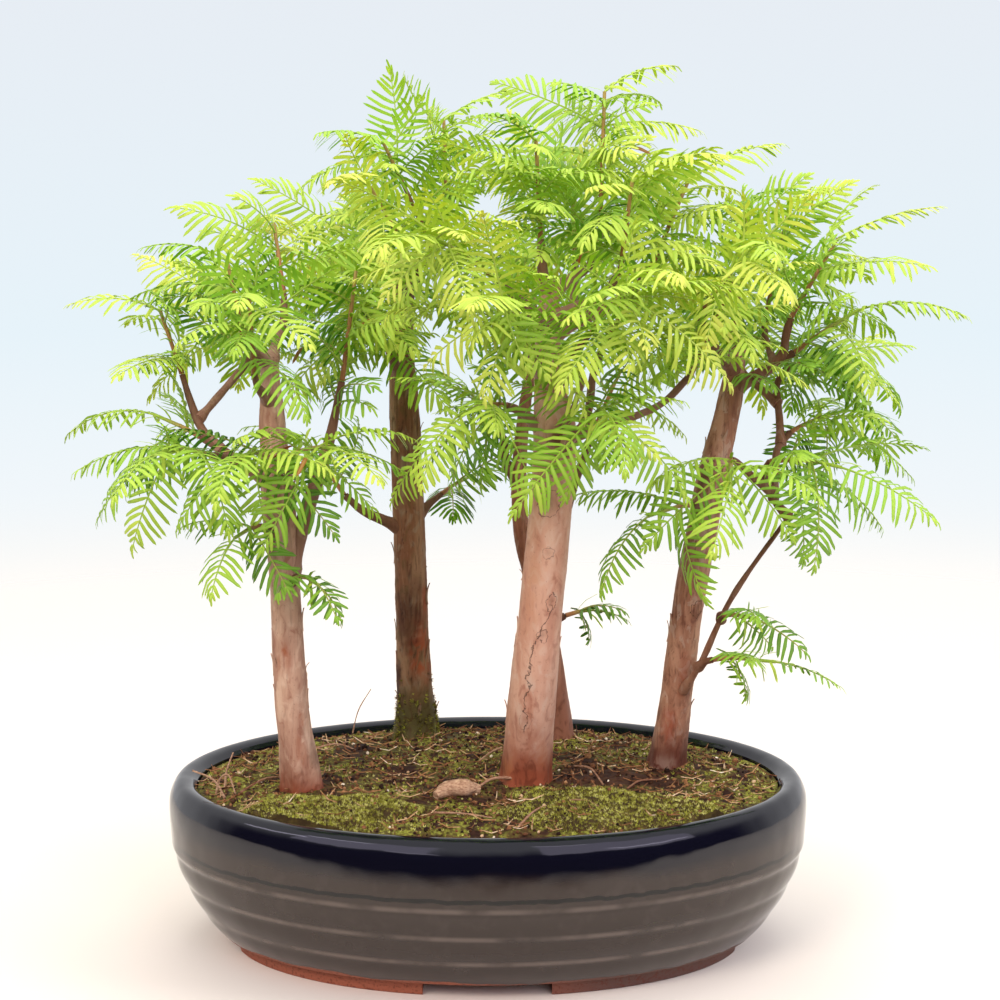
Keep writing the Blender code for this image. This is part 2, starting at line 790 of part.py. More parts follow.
def grow_stem(shoot, start, heading, trunk, stray, draw):
    """The stem of a shoot, from its limb's end to its tip or to a place that strays from it."""
    away = Vector(draw.uniform(-1, 1) for _ in range(3))
    tip = mm(*shoot.tip) + away * (stray * STEM_STRAY)
    start = start + heading * STEM_GAP
    length = (tip - start).length
    upright = abs((tip - start).normalized().z)
    joints = max(1, round((length - FIRST_JOINT) / JOINT_SPACING))
    bow = UP * (STEM_BOW * length * (1 - upright))

    def place(distance):
        share = distance / length
        return start.lerp(tip, share) + bow * (4 * share * (1 - share))

    distances = [0]
    for number in range(joints):
        middle = FIRST_JOINT + (length - FIRST_JOINT) * number / joints
        distances += [middle - JOINT_LENGTH / 2, middle + JOINT_LENGTH / 2]
    distances.append(length)
    line = [place(distance) for distance in distances]
    axis = (tip - start).normalized()
    level = axis.cross(UP)
    if level.length < LEAST_LEVEL:
        level = Vector((trunk.y - start.y, start.x - trunk.x, 0))
    level.normalize()
    found = []
    angle = 0.0
    rings = []
    turn_each = TURN_UPRIGHT if upright > UPRIGHT else TURN_LEVEL
    for index, (point, (along, _)) in enumerate(zip(line, frames(line))):
        if index == 0:
            along = heading
        joint = (index - 1) // 2
        if 0 <= joint < joints and index % 2 == 1:
            wanted = turn_each * (joint % 2 - 0.5) + draw.uniform(-TURN_STRAY, TURN_STRAY)
            quarter = round((wanted - angle) / 90)
            angle = wanted - 90 * quarter
            found.append((index, quarter % 4))
        side = (level - along * level.dot(along)).normalized()
        other = along.cross(side)
        radius = STEM_BASE + (STEM_TIP - STEM_BASE) * distances[index] / length
        ring = []
        for corner in range(4):
            a = math.radians(angle - 45 + 90 * corner)
            ring.append(point + (side * math.cos(a) + other * math.sin(a)) * (radius * math.sqrt(2)))
        rings.append(ring)
    sites = []
    for index, quarter in found:
        for face in (quarter, (quarter + 2) % 4):
            low = index * 4
            corners = (low + face, low + (face + 1) % 4, low + 4 + (face + 1) % 4, low + 4 + face)
            sites.append(corners)
    count = 4 * len(rings)
    return Stem(rings, sites, tuple(range(count - 4, count)))


def frond_at(corners, stem_axis, outward, size, attempt, draw, terminal):
    """One try at a frond on four corners of a stem. Later tries stray further."""
    stray = attempt / FROND_TRIES

    def wander(span):
        return math.radians(draw.uniform(-1, 1) * (span[0] + span[1] * stray))

    middle = sum(corners, Vector()) / 4
    normal = (corners[1] - corners[0]).cross(corners[3] - corners[0]).normalized()
    lean = math.radians(FROND_LEAN) + wander(LEAN_STRAY)
    along = stem_axis * math.cos(lean) + normal * math.sin(lean)
    if terminal:
        along = (stem_axis + outward * (TERMINAL_BEND * max(0, stem_axis.z) ** 2)).normalized()
    swing = wander(SWING_STRAY)
    tilt = wander(TILT_STRAY)
    helper = along.orthogonal().normalized()
    along = Matrix.Rotation(swing, 3, helper) @ along
    along = Matrix.Rotation(tilt, 3, along.cross(helper)) @ along
    along = (along - UP * FROND_SINK).normalized()
    up = UP * (1 - abs(along.z)) - outward * along.z
    up = (up - along * up.dot(along)).normalized()
    up = Matrix.Rotation(wander(ROLL_STRAY), 3, along) @ up
    length = FROND_LENGTH * size * draw.uniform(*FROND_SIZES) * (1 - FROND_SHRINK * stray)
    if terminal:
        length *= TERMINAL_SHARE
    droop = math.radians(FROND_DROOP) + wander(DROOP_STRAY)
    return Frond(middle, along, up, length, droop, MANY_PAIRS if length > LONG_FROND else FEW_PAIRS)


def grow_forest():
    """All limbs, stems and fronds, grown in turn into free space."""
    space = Space()
    woods = {}
    stems = []
    ends = {}
    for tree in TREES:
        points, radii = trunk_line(tree)
        space.add(*tube(points, radii, TRUNK_SIDES), "wood")
        woods[tree.name], tree_ends = grow_limbs(tree)
        ends.update(tree_ends)
        for limb in woods[tree.name]:
            space.add(*limb.mesh(), "wood")
    for tree in TREES:
        points, _ = trunk_line(tree)
        for number, shoot in enumerate(tree.shoots, start=1):
            name = f"shoot_{tree.name}_{number:02d}"
            draw = random.Random(name)
            for attempt in range(STEM_TRIES):
                stem = grow_stem(shoot, *ends[shoot], points[-1], attempt / STEM_TRIES, draw)
                if space.is_free(*stem.mesh()):
                    break
            space.add(*stem.mesh(), name)
            stems.append((name, stem, shoot.size, points[-1], draw))
    grown = {name: [] for name, _, _, _, _ in stems}
    for terminal in (True, False):
        for name, stem, size, trunk, draw in stems:
            sites = [stem.end] if terminal else stem.joints
            for site in sites:
                made = grow_frond(space, name, stem, site, trunk, size, draw, terminal)
                if made:
                    grown[name].append((site, made))
    return woods, [(name, stem, grown[name]) for name, stem, _, _, _ in stems]


def grow_frond(space, name, stem, site, trunk, size, draw, terminal):
    """A frond on a stem's site, bent until it is clear of all that has grown, or None."""
    points = [point for ring in stem.rings for point in ring]
    corners = [points[i] for i in site]
    ring = site[0] // 4
    after = min(ring + 1, len(stem.rings) - 1)
    before = after - 1
    axis = (sum(stem.rings[after], Vector()) - sum(stem.rings[before], Vector())).normalized()
    middle = sum(corners, Vector()) / 4
    outward = Vector((middle.x - trunk.x, middle.y - trunk.y, 0))
    outward = outward.normalized() if outward.length > MM else Vector((0, -1, 0))
    for attempt in range(FROND_TRIES):
        frond = frond_at(corners, axis, outward, size, attempt, draw, terminal)
        shape, faces = frond_mesh(frond, corners)
        leafy = [tuple(i - len(site) for i in face) for face in faces[len(site) + RIB_POINTS:]]
        if not space.is_free(shape[len(site):], leafy):
            continue
        if not space.is_free(shape, faces, passing=(name,)):
            continue
        space.add(shape, faces, name)
        return frond
    return None


def make_tree(tree, limbs):
    """One tree's wood: its trunk with the limbs fused to it."""
    points, radii = trunk_line(tree)
    trunk = make_object("tree_" + tree.name, *tube(points, radii, TRUNK_SIDES), "bark")
    fuse(trunk, [make_object(f"limb {i}", *limb.mesh(), "bark") for i, limb in enumerate(limbs)])
    return trunk


def make_shoot(name, stem, fronds):
    """A leafy shoot in one body: each frond's skin opens into the stem's."""
    open_faces = {tuple(sorted(site)) for site, _ in fronds}
    points, faces = stem.mesh(open_faces)
    points = list(points)
    for site, frond in fronds:
        shape, frond_faces = frond_mesh(frond, [points[i] for i in site])
        first = len(points)
        points += shape[len(site):]
        index = list(site) + [first + i for i in range(len(shape) - len(site))]
        faces += [tuple(index[i] for i in face) for face in frond_faces]
    return make_object(name, points, faces, "foliage", smooth=False)


def main():
    clear_scene()
    forest = bpy.data.objects.new("forest", None)
    bpy.context.scene.collection.objects.link(forest)
    forest.location = POT_PLACE
    make_pot()
    for number, side in enumerate((-1, 1), start=1):
        make_drain_mesh(number, side * DRAIN_OUT)
    make_soil()
    for patch in MOSS_PATCHES:
        make_moss(*patch)
    make_knuckle()
    woods, shoots = grow_forest()
    for tree in TREES:
        make_tree(tree, woods[tree.name])
    for name, stem, fronds in shoots:
        make_shoot(name, stem, fronds)
    for piece in bpy.context.scene.objects:
        if piece.type == "MESH":
            piece.parent = forest


main()
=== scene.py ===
"""The looks of a dawn redwood forest in its oval pot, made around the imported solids.

Metres, +Z up. Places are measured from the middle of the pot on the ground, and each finished piece
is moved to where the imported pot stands. The shoots grow by the same seeded rule as the solids that
they replace, so every fine frond lies where its coarse one does.
"""

import logging
import math
import random
from dataclasses import dataclass, field
from enum import Enum

import bmesh
import bpy
import numpy as np
from mathutils import Matrix, Vector, noise
from mathutils.bvhtree import BVHTree

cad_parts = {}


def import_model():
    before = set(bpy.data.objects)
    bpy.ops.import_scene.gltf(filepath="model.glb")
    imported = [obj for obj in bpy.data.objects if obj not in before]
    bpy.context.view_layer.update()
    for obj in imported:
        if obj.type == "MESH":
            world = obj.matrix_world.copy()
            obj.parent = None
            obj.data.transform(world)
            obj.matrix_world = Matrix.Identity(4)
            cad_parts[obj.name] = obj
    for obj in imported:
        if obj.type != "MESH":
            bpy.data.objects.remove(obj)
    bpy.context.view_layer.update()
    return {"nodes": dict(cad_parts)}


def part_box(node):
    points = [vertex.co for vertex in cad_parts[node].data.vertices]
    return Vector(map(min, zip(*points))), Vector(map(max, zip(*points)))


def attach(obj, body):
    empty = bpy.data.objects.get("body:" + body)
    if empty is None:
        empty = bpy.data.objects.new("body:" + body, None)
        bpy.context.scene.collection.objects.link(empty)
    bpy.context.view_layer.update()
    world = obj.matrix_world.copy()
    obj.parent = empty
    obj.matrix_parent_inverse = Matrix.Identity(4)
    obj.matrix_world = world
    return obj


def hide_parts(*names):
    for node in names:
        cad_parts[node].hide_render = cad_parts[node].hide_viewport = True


log = logging.getLogger("forest")

MM = 0.001
UP = Vector((0, 0, 1))
FRONT = Vector((0, -1, 0))
GAP = 0.3 * MM


class Slot(Enum):
    """The record's material slots."""

    GLAZE = "glaze"
    MESH_PLASTIC = "mesh_plastic"
    SOIL = "soil"
    MOSS = "moss"
    DEAD_WOOD = "dead_wood"
    BARK = "bark"
    FOLIAGE = "foliage"


def mm(*values: float) -> Vector:
    """A place given in millimetres."""
    return Vector(values) * MM


def linear(code: str) -> tuple:
    """Turn an sRGB hex colour into a linear one.

    Args:
        code: six hex digits with a leading hash.

    Returns:
        Red, green, blue and an alpha of 1.
    """
    found = []
    for start in (1, 3, 5):
        value = int(code[start:start + 2], 16) / 255
        found.append(value / 12.92 if value <= 0.04045 else ((value + 0.055) / 1.055) ** 2.4)
    return (*found, 1.0)


def ease(low: float, high: float, value: float) -> float:
    """A smooth step from 0 at low to 1 at high."""
    share = min(1.0, max(0.0, (value - low) / (high - low)))
    return share * share * (3 - 2 * share)


def add_node(tree: bpy.types.NodeTree, kind: str, inputs: dict = None) -> bpy.types.Node:
    """Add a node with its settings and links.

    Args:
        tree: the material's or world's node tree.
        kind: the node's type name after "ShaderNode".
        inputs: values, sockets or nodes by input name or number, properties by name, or colour "stops".

    Returns:
        The new node.
    """
    node = tree.nodes.new("ShaderNode" + kind)
    for key, value in (inputs or {}).items():
        if isinstance(value, bpy.types.Node):
            value = value.outputs[0]
        if key == "stops":
            ramp = node.color_ramp
            while len(ramp.elements) < len(value):
                ramp.elements.new(1.0)
            for element, (place, colour) in zip(ramp.elements, value):
                element.position = place
                element.color = linear(colour)
        elif isinstance(value, bpy.types.NodeSocket):
            tree.links.new(value, node.inputs[key])
        elif isinstance(key, str) and key not in node.inputs and hasattr(node, key):
            setattr(node, key, value)
        else:
            node.inputs[key].default_value = linear(value) if isinstance(value, str) else value
    return node


def new_material(name: str) -> tuple:
    """A material with an empty node tree, and its output node.

    Args:
        name: the material's name.

    Returns:
        The material, its node tree and its output node.
    """
    made = bpy.data.materials.new(name)
    made.use_nodes = True
    tree = made.node_tree
    tree.nodes.clear()
    return made, tree, add_node(tree, "OutputMaterial")


@dataclass
class Shape:
    """Points, faces and point values of a mesh in the making.

    Attributes:
        points: blocks of points, each an array of rows x, y, z.
        faces: blocks of faces, each an array with a row of corners for every face.
        finishes: a material number for each face, in blocks.
        values: named values for each point, in blocks.
        count: how many points there are.
    """

    points: list = field(default_factory=list)
    faces: list = field(default_factory=list)
    finishes: list = field(default_factory=list)
    values: dict = field(default_factory=dict)
    count: int = 0

    def add(self, points: np.ndarray, faces: list, finish: int = 0, **values: float) -> None:
        """Add a block of points and faces.

        Args:
            points: rows of x, y, z.
            faces: arrays or tuples of corners, counted from this block's first point.
            finish: the material number of these faces.
            values: for each name one value for all points, or one for each.
        """
        points = np.asarray(points, float).reshape(-1, 3)
        for block in faces:
            block = np.atleast_2d(np.asarray(block, int)) + self.count
            self.faces.append(block)
            self.finishes.append(np.full(len(block), finish))
        for name, value in values.items():
            if name not in self.values:
                self.values[name] = [np.zeros(self.count)]
            self.values[name].append(np.broadcast_to(np.asarray(value, float), (len(points),)))
        for name in self.values:
            if name not in values:
                self.values[name].append(np.zeros(len(points)))
        self.points.append(points)
        self.count += len(points)

    def build(self, name: str, materials: list, middle: Vector, crease: float = None) -> bpy.types.Object:
        """Make the mesh object.

        Args:
            name: the piece's name.
            materials: its materials, in the order of the finish numbers.
            middle: the place of the pot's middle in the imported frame.
            crease: the angle in degrees above which an edge stays sharp, or None for all smooth.

        Returns:
            The object, in the scene.
        """
        mesh = bpy.data.meshes.new(name)
        points = np.concatenate(self.points) + np.array(middle)
        corners = np.concatenate([block.ravel() for block in self.faces])
        sizes = np.concatenate([np.full(len(block), block.shape[1]) for block in self.faces])
        starts = np.concatenate([[0], np.cumsum(sizes)[:-1]])
        mesh.vertices.add(len(points))
        mesh.vertices.foreach_set("co", points.astype(np.float32).ravel())
        mesh.loops.add(len(corners))
        mesh.loops.foreach_set("vertex_index", corners.astype(np.int32))
        mesh.polygons.add(len(sizes))
        mesh.polygons.foreach_set("loop_start", starts.astype(np.int32))
        mesh.polygons.foreach_set("material_index", np.concatenate(self.finishes).astype(np.int32))
        mesh.update(calc_edges=True)
        mesh.validate()
        for label, blocks in self.values.items():
            layer = mesh.attributes.new(label, "FLOAT", "POINT")
            layer.data.foreach_set("value", np.concatenate(blocks).astype(np.float32))
        mesh.shade_smooth()
        if crease is not None:
            mesh.set_sharp_from_angle(angle=math.radians(crease))
        for material in materials:
            mesh.materials.append(material)
        made = bpy.data.objects.new(name, mesh)
        bpy.context.scene.collection.objects.link(made)
        return made


def register(piece: bpy.types.Object, slot: Slot, *nodes: str) -> bpy.types.Object:
    """Let a finished piece ride on the body and hide the nodes that it stands for.

    Args:
        piece: the finished object.
        slot: the record's material slot; not used.
        nodes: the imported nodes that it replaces, if any.

    Returns:
        The piece.
    """
    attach(piece, "root")
    if nodes:
        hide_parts(*nodes)
    sides = sum(len(face.vertices) - 2 for face in piece.data.polygons)
    log.info("%s: %d triangles, stands for %d nodes", piece.name, sides, len(nodes))
    return piece


# Growth: the same constants, draws and order as in the part's source.
FROND_LENGTH = 50 * MM
LONG_FROND = 45 * MM
FEW_PAIRS = 3
MANY_PAIRS = 4
LEAFLET_LENGTH = 14.5 * MM
LEAFLET_SWELL = (0.24, 0.58, 0.7)
LEAFLET_LEAN = 70
LEAFLET_CLOSING = 22
RIB_WIDTH = 0.9 * MM
RIB_HEIGHT = 1.3 * MM
FIRST_LEAFLET = 0.14
LAST_LEAFLET = 0.86
TERMINAL_LEAN = math.radians(24)
LEAFLET_DIP = 0.16
TERMINAL_SHARE = 0.86
TERMINAL_BEND = 1.1
RIB_POINTS = 3
FROND_TRIES = 60
FROND_CLEAR = 0.35 * MM
FROND_LEAN = 58
LEAN_STRAY = (8, 26)
SWING_STRAY = (8, 34)
TILT_STRAY = (8, 26)
ROLL_STRAY = (16, 44)
FROND_DROOP = 40
DROOP_STRAY = (16, 20)
FROND_SINK = 0.12
FROND_SIZES = (0.78, 1.1)
FROND_SHRINK = 0.38
STEM_BASE = 1.15 * MM
STEM_TIP = 0.75 * MM
STEM_BOW = 0.05
STEM_TRIES = 40
STEM_STRAY = 14 * MM
JOINT_SPACING = 15 * MM
JOINT_LENGTH = 2.2 * MM
FIRST_JOINT = 7 * MM
STEM_GAP = GAP + 0.1 * MM
UPRIGHT = 0.75
TURN_UPRIGHT = 90
TURN_LEVEL = 62
TURN_STRAY = 8
LEAST_LEVEL = 0.3
LIMB_TIP = 1.5 * MM
LIMB_SLOPE = 0.6
LOWEST_LIMB = 105 * MM
LIMB_WINDOW = 2 * MM
TOO_HIGH_COST = 2.5
LIMB_RISE = 0.5
LEAST_SPREAD = 0.3
LIMB_HANDLES = (0.35, 0.3)
LEAST_LIMB_BASE = 1.15
LIMB_BASE_SHARE = 0.62
LIMB_TAPER = 0.045
TWIG_TAPER = (1.1, 0.6)
WOOD_STEP = 2 * MM
LIMB_END_SAMPLES = 4
LIMB_SIDES = 4
LIMB_RINGS = 3
TRUNK_SIDES = 10
STEEP = 0.8


@dataclass(frozen=True)
class Shoot:
    """A leafy shoot: its start and tip, the size of its fronds, and where its limb leaves the trunk."""

    root: tuple
    tip: tuple
    size: float = 1.0
    limb_from: float = None


@dataclass(frozen=True)
class Tree:
    """A trunk, as places with radii from the roots up, its twigs and its leafy shoots."""

    name: str
    trunk: tuple
    shoots: tuple
    twigs: tuple = ()
    dead_twigs: tuple = ()

    def line(self) -> tuple:
        """The points of the trunk's line, and their radii."""
        return [mm(*station[:3]) for station in self.trunk], [station[3] * MM for station in self.trunk]

    def shoot_name(self, number: int) -> str:
        """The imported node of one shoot."""
        return f"shoot_{self.name}_{number:02d}"


TREES = (
    Tree(
        "left",
        (
            (-77, -18, 48, 8), (-80, -20, 69, 9.6), (-81, -22, 82, 8.5), (-84, -26, 112, 7.2),
            (-86, -30, 170, 6.4), (-88, -30, 203, 7.1), (-90, -30, 232, 5.6), (-91, -29, 262, 3.8),
        ),
        (
            Shoot((-101, -36, 272), (-107, -36, 303)),
            Shoot((-88, 8, 286), (-93, 20, 316)),
            Shoot((-95, -52, 258), (-95, -66, 290)),
            Shoot((-128, -26, 255), (-136, -30, 282), size=0.85),
            Shoot((-120, -31, 229), (-140, -26, 238)),
            Shoot((-114, -48, 224), (-129, -80, 230)),
            Shoot((-90, -50, 223), (-96, -90, 230)),
            Shoot((-80, -46, 224), (-60, -78, 231)),
            Shoot((-61, -26, 252), (-55, -20, 298), limb_from=168),
            Shoot((-104, 18, 266), (-122, 55, 281)),
            Shoot((-95, -42, 193), (-103, -63, 192), size=0.75),
            Shoot((-79, -38, 171), (-70, -55, 171), size=0.6),
        ),
    ),
    Tree(
        "back_left",
        (
            (-33, 68, 48, 9), (-34, 68, 70, 10.6), (-34, 67, 84, 9.2), (-35, 62, 106, 8),
            (-36, 56, 160, 7.4), (-38, 55, 222, 7), (-39, 55, 262, 5.4), (-37, 54, 292, 3.8),
        ),
        (
            Shoot((-27, 50, 308), (-46, 40, 350)),
            Shoot((-32, 28, 296), (-50, 4, 332)),
            Shoot((-19, 62, 320), (-20, 64, 360)),
            Shoot((-48, 85, 290), (-75, 110, 310)),
            Shoot((-65, 45, 192), (-84, 56, 216), size=0.85),
            Shoot((-22, 67, 189), (-6, 86, 196), size=0.85),
            Shoot((-45, 27, 262), (-54, -14, 282)),
        ),
    ),
    Tree(
        "centre",
        (
            (14, -16, 46, 10), (16, -17, 69, 11.8), (17, -18, 84, 10.8), (19, -26, 115, 10.3),
            (23, -33, 160, 9.2), (27, -35, 205, 9), (28, -34, 232, 9), (25, -31, 258, 5.8),
            (26, -30, 292, 4.2),
        ),
        (
            Shoot((47, -15, 308), (49, -10, 372)),
            Shoot((22, -37, 312), (20, -37, 352)),
            Shoot((54, -50, 300), (58, -62, 336)),
            Shoot((2, -56, 298), (-22, -92, 316)),
            Shoot((83, -50, 257), (99, -62, 296), limb_from=226),
            Shoot((45, -72, 268), (60, -104, 300)),
            Shoot((14, -66, 276), (6, -106, 292)),
            Shoot((8, -43, 244), (-12, -80, 244)),
            Shoot((43, -55, 240), (46, -92, 248)),
            Shoot((38, 15, 302), (37, 45, 342)),
            Shoot((68, -20, 298), (84, -16, 335)),
        ),
        dead_twigs=(((26, -32, 250), (39, -46, 257), (34, -51, 240), (27, -50, 215)),),
    ),
    Tree(
        "back_centre",
        (
            (34, 64, 50, 4.6), (34, 63, 74, 5.6), (31, 56, 105, 4.6), (25, 48, 138, 4.3),
            (16, 45, 170, 3.8), (14, 45, 200, 3.4), (16, 47, 228, 2.9), (20, 56, 254, 2.3),
        ),
        (
            Shoot((4, 44, 226), (-12, 64, 240), limb_from=196),
            Shoot((47, 45, 220), (60, 62, 246), limb_from=138),
            Shoot((22, 70, 268), (20, 104, 294)),
            Shoot((46, 72, 262), (70, 102, 290)),
            Shoot((35, 46, 136), (47, 49, 138), size=0.5),
        ),
    ),
    Tree(
        "right",
        (
            (76, 13, 48, 7.4), (79, 14, 69, 8.9), (81, 12, 84, 7.8), (84, 7, 112, 7),
            (88, 0, 153, 6.9), (97, 0, 206, 6.6), (104, 0, 238, 5.4), (108, 0, 266, 3.8),
        ),
        (
            Shoot((106, -2, 271), (111, 4, 324)),
            Shoot((122, 25, 274), (132, 34, 320)),
            Shoot((129, -8, 277), (148, -10, 311)),
            Shoot((89, -45, 284), (104, -70, 309)),
            Shoot((131, -5, 262), (157, -13, 281)),
            Shoot((132, 27, 252), (164, 43, 253)),
            Shoot((133, 20, 224), (160, 42, 231)),
            Shoot((120, -20, 217), (147, -42, 218)),
            Shoot((102, -34, 220), (98, -74, 216)),
            Shoot((111, 45, 254), (106, 86, 278)),
            Shoot((88, -12, 197), (68, -28, 195)),
            Shoot((101, -17, 150), (115, -26, 150), size=0.7),
            Shoot((97, -16, 130), (124, -20, 130), size=0.7),
        ),
        twigs=(((86, 0, 112), (93, -10, 128), (106, -13, 158), (130, -14, 194)),),
    ),
)


def skin(rings: list) -> tuple:
    """Close a skin over rings of equal count.

    Args:
        rings: lists of points.

    Returns:
        The points, and the faces with an end face at each end.
    """
    points = [point for ring in rings for point in ring]
    count = len(rings[0])
    faces = [tuple(reversed(range(count)))]
    for level in range(len(rings) - 1):
        for side in range(count):
            after = (side + 1) % count
            low = level * count
            faces.append((low + side, low + after, low + count + after, low + count + side))
    faces.append(tuple(range(len(points) - count, len(points))))
    return points, faces


def frames(points: list) -> list:
    """A direction and a side vector at each point of a line, turning as little as they can.

    Args:
        points: the line.

    Returns:
        A pair of unit vectors for each point.
    """
    found = []
    side = None
    for index in range(len(points)):
        before = points[max(0, index - 1)]
        after = points[min(len(points) - 1, index + 1)]
        along = (after - before).normalized()
        if side is None:
            side = along.cross(UP if abs(along.z) < STEEP else Vector((0, 1, 0)))
        side = (side - along * side.dot(along)).normalized()
        found.append((along, side))
    return found


def tube(points: list, radii: list, sides: int) -> tuple:
    """A closed round tube through a line of points.

    Args:
        points: the line.
        radii: the tube's radius at each point.
        sides: how many sides it has.

    Returns:
        Its points and faces.
    """
    rings = []
    for point, radius, (along, side) in zip(points, radii, frames(points)):
        other = along.cross(side)
        turns = [math.tau * i / sides for i in range(sides)]
        rings.append([point + (side * math.cos(a) + other * math.sin(a)) * radius for a in turns])
    return skin(rings)


def tapered(first: float, last: float, count: int) -> list:
    """Evenly stepped values from first to last."""
    return [first + (last - first) * i / (count - 1) for i in range(count)]


def way_out(place: Vector, trunk: Vector) -> Vector:
    """The level direction from a trunk to a place, or towards the front where they are one."""
    outward = Vector((place.x - trunk.x, place.y - trunk.y, 0))
    return outward.normalized() if outward.length > MM else FRONT.copy()


def bezier(points: tuple, t: float) -> Vector:
    """The place at a share t of a cubic curve with four control points."""
    a, b, c, d = points
    s = 1 - t
    return a * s ** 3 + b * (3 * s * s * t) + c * (3 * s * t * t) + d * t ** 3


def ball(points: list) -> tuple:
    """The middle and radius of a ball round some points."""
    low = Vector(min(point[i] for point in points) for i in range(3))
    high = Vector(max(point[i] for point in points) for i in range(3))
    middle = (low + high) / 2
    return middle, max((point - middle).length for point in points)


class Space:
    """Everything grown so far, so that nothing new is grown through it."""

    def __init__(self) -> None:
        """Start with nothing grown."""
        self.taken = []

    def add(self, points: list, faces: list, owner: str) -> None:
        """Keep a grown piece."""
        middle, reach = ball(points)
        self.taken.append((middle, reach, BVHTree.FromPolygons(points, faces), owner))

    def is_free(self, points: list, faces: list, passing: tuple = ()) -> bool:
        """Whether a new piece is clear of all that is there.

        Args:
            points: the new piece's points.
            faces: its faces.
            passing: owners that it may touch.

        Returns:
            True if it is clear.
        """
        middle, reach = ball(points)
        near = []
        for other_middle, other_reach, tree, owner in self.taken:
            if owner in passing:
                continue
            if (middle - other_middle).length < reach + other_reach + FROND_CLEAR:
                near.append(tree)
        if not near:
            return True
        shape = BVHTree.FromPolygons(points, faces)
        probes = list(points)
        for face in faces:
            probes.append((points[face[0]] + points[face[-1]]) / 2)
        for tree in near:
            if tree.overlap(shape):
                return False
        for tree in near:
            for probe in probes:
                if tree.find_nearest(probe, FROND_CLEAR)[0] is not None:
                    return False
        return True


@dataclass
class Limb:
    """A branch of the wood: its line, the radii, and how thick the wood is where it starts."""

    points: list
    radii: list
    buried: float = 0.0
    dead: bool = False

    def mesh(self) -> tuple:
        """The coarse points and faces."""
        return tube(self.points, self.radii, LIMB_SIDES)


def limb_start(shoot: Shoot, wood: list) -> tuple:
    """The place on a tree's wood that the limb to a shoot grows from.

    Args:
        shoot: the shoot at the limb's end.
        wood: places with radii.

    Returns:
        The place and its radius.
    """
    root = mm(*shoot.root)
    best = None
    for point, radius in wood:
        if shoot.limb_from is not None and abs(point.z - shoot.limb_from * MM) > LIMB_WINDOW:
            continue
        flat = math.hypot(root.x - point.x, root.y - point.y)
        too_high = max(0, point.z + LIMB_SLOPE * flat - root.z)
        cost = (root - point).length + TOO_HIGH_COST * too_high
        if best is None or cost < best[0]:
            best = (cost, point, radius)
    return best[1], best[2]


def samples(points: list, radii: list) -> list:
    """Places along a line of points, a small step apart, with their radii."""
    found = []
    for index in range(len(points) - 1):
        length = (points[index + 1] - points[index]).length
        steps = max(1, round(length / WOOD_STEP))
        for step in range(steps):
            share = step / steps
            radius = radii[index] * (1 - share) + radii[index + 1] * share
            found.append((points[index].lerp(points[index + 1], share), radius))
    return found


def limb_heading(start: Vector, root: Vector) -> Vector:
    """The direction in which a limb leaves the wood: out and up, or straight where it is steep."""
    flat = Vector((root.x - start.x, root.y - start.y, 0))
    if flat.length > LEAST_SPREAD * (root - start).length:
        return (flat.normalized() + UP * LIMB_RISE).normalized()
    return (root - start).normalized()


def nearest(place: Vector, wood: list) -> float:
    """How far a place is from the nearest wood."""
    return min((place - point).length for point, _ in wood)


def grow_limbs(tree: Tree) -> tuple:
    """Grow the limbs of a tree, each from the nearest wood below to the start of its shoot.

    Args:
        tree: the tree.

    Returns:
        The limbs, and for each shoot its limb's end and direction.
    """
    points, radii = tree.line()
    wood = [sample for sample in samples(points, radii) if sample[0].z > LOWEST_LIMB]
    limbs = []
    for twig in tree.twigs + tree.dead_twigs:
        line = [mm(*place) for place in twig]
        thin = [LIMB_TIP * share for share in tapered(*TWIG_TAPER, len(line))]
        limbs.append(Limb(line, thin, radii[-2], twig in tree.dead_twigs))
        if twig in tree.twigs:
            wood += samples(line, thin)
    ends = {}
    for shoot in sorted(tree.shoots, key=lambda shoot: nearest(mm(*shoot.root), wood)):
        root = mm(*shoot.root)
        start, thick = limb_start(shoot, wood)
        heading = (mm(*shoot.tip) - root).normalized()
        span = (root - start).length
        near, far = LIMB_HANDLES
        curve = (start, start + limb_heading(start, root) * span * near, root - heading * span * far, root)
        base = max(LIMB_TIP * LEAST_LIMB_BASE, min(thick * LIMB_BASE_SHARE, LIMB_TIP + span * LIMB_TAPER))
        line = [bezier(curve, i / LIMB_RINGS) for i in range(LIMB_RINGS + 1)]
        thin = tapered(base, LIMB_TIP, LIMB_RINGS + 1)
        limbs.append(Limb(line, thin, thick))
        wood += samples(line, thin)[:-LIMB_END_SAMPLES]
        ends[shoot] = (line[-1], (line[-1] - line[-2]).normalized())
    return limbs, ends


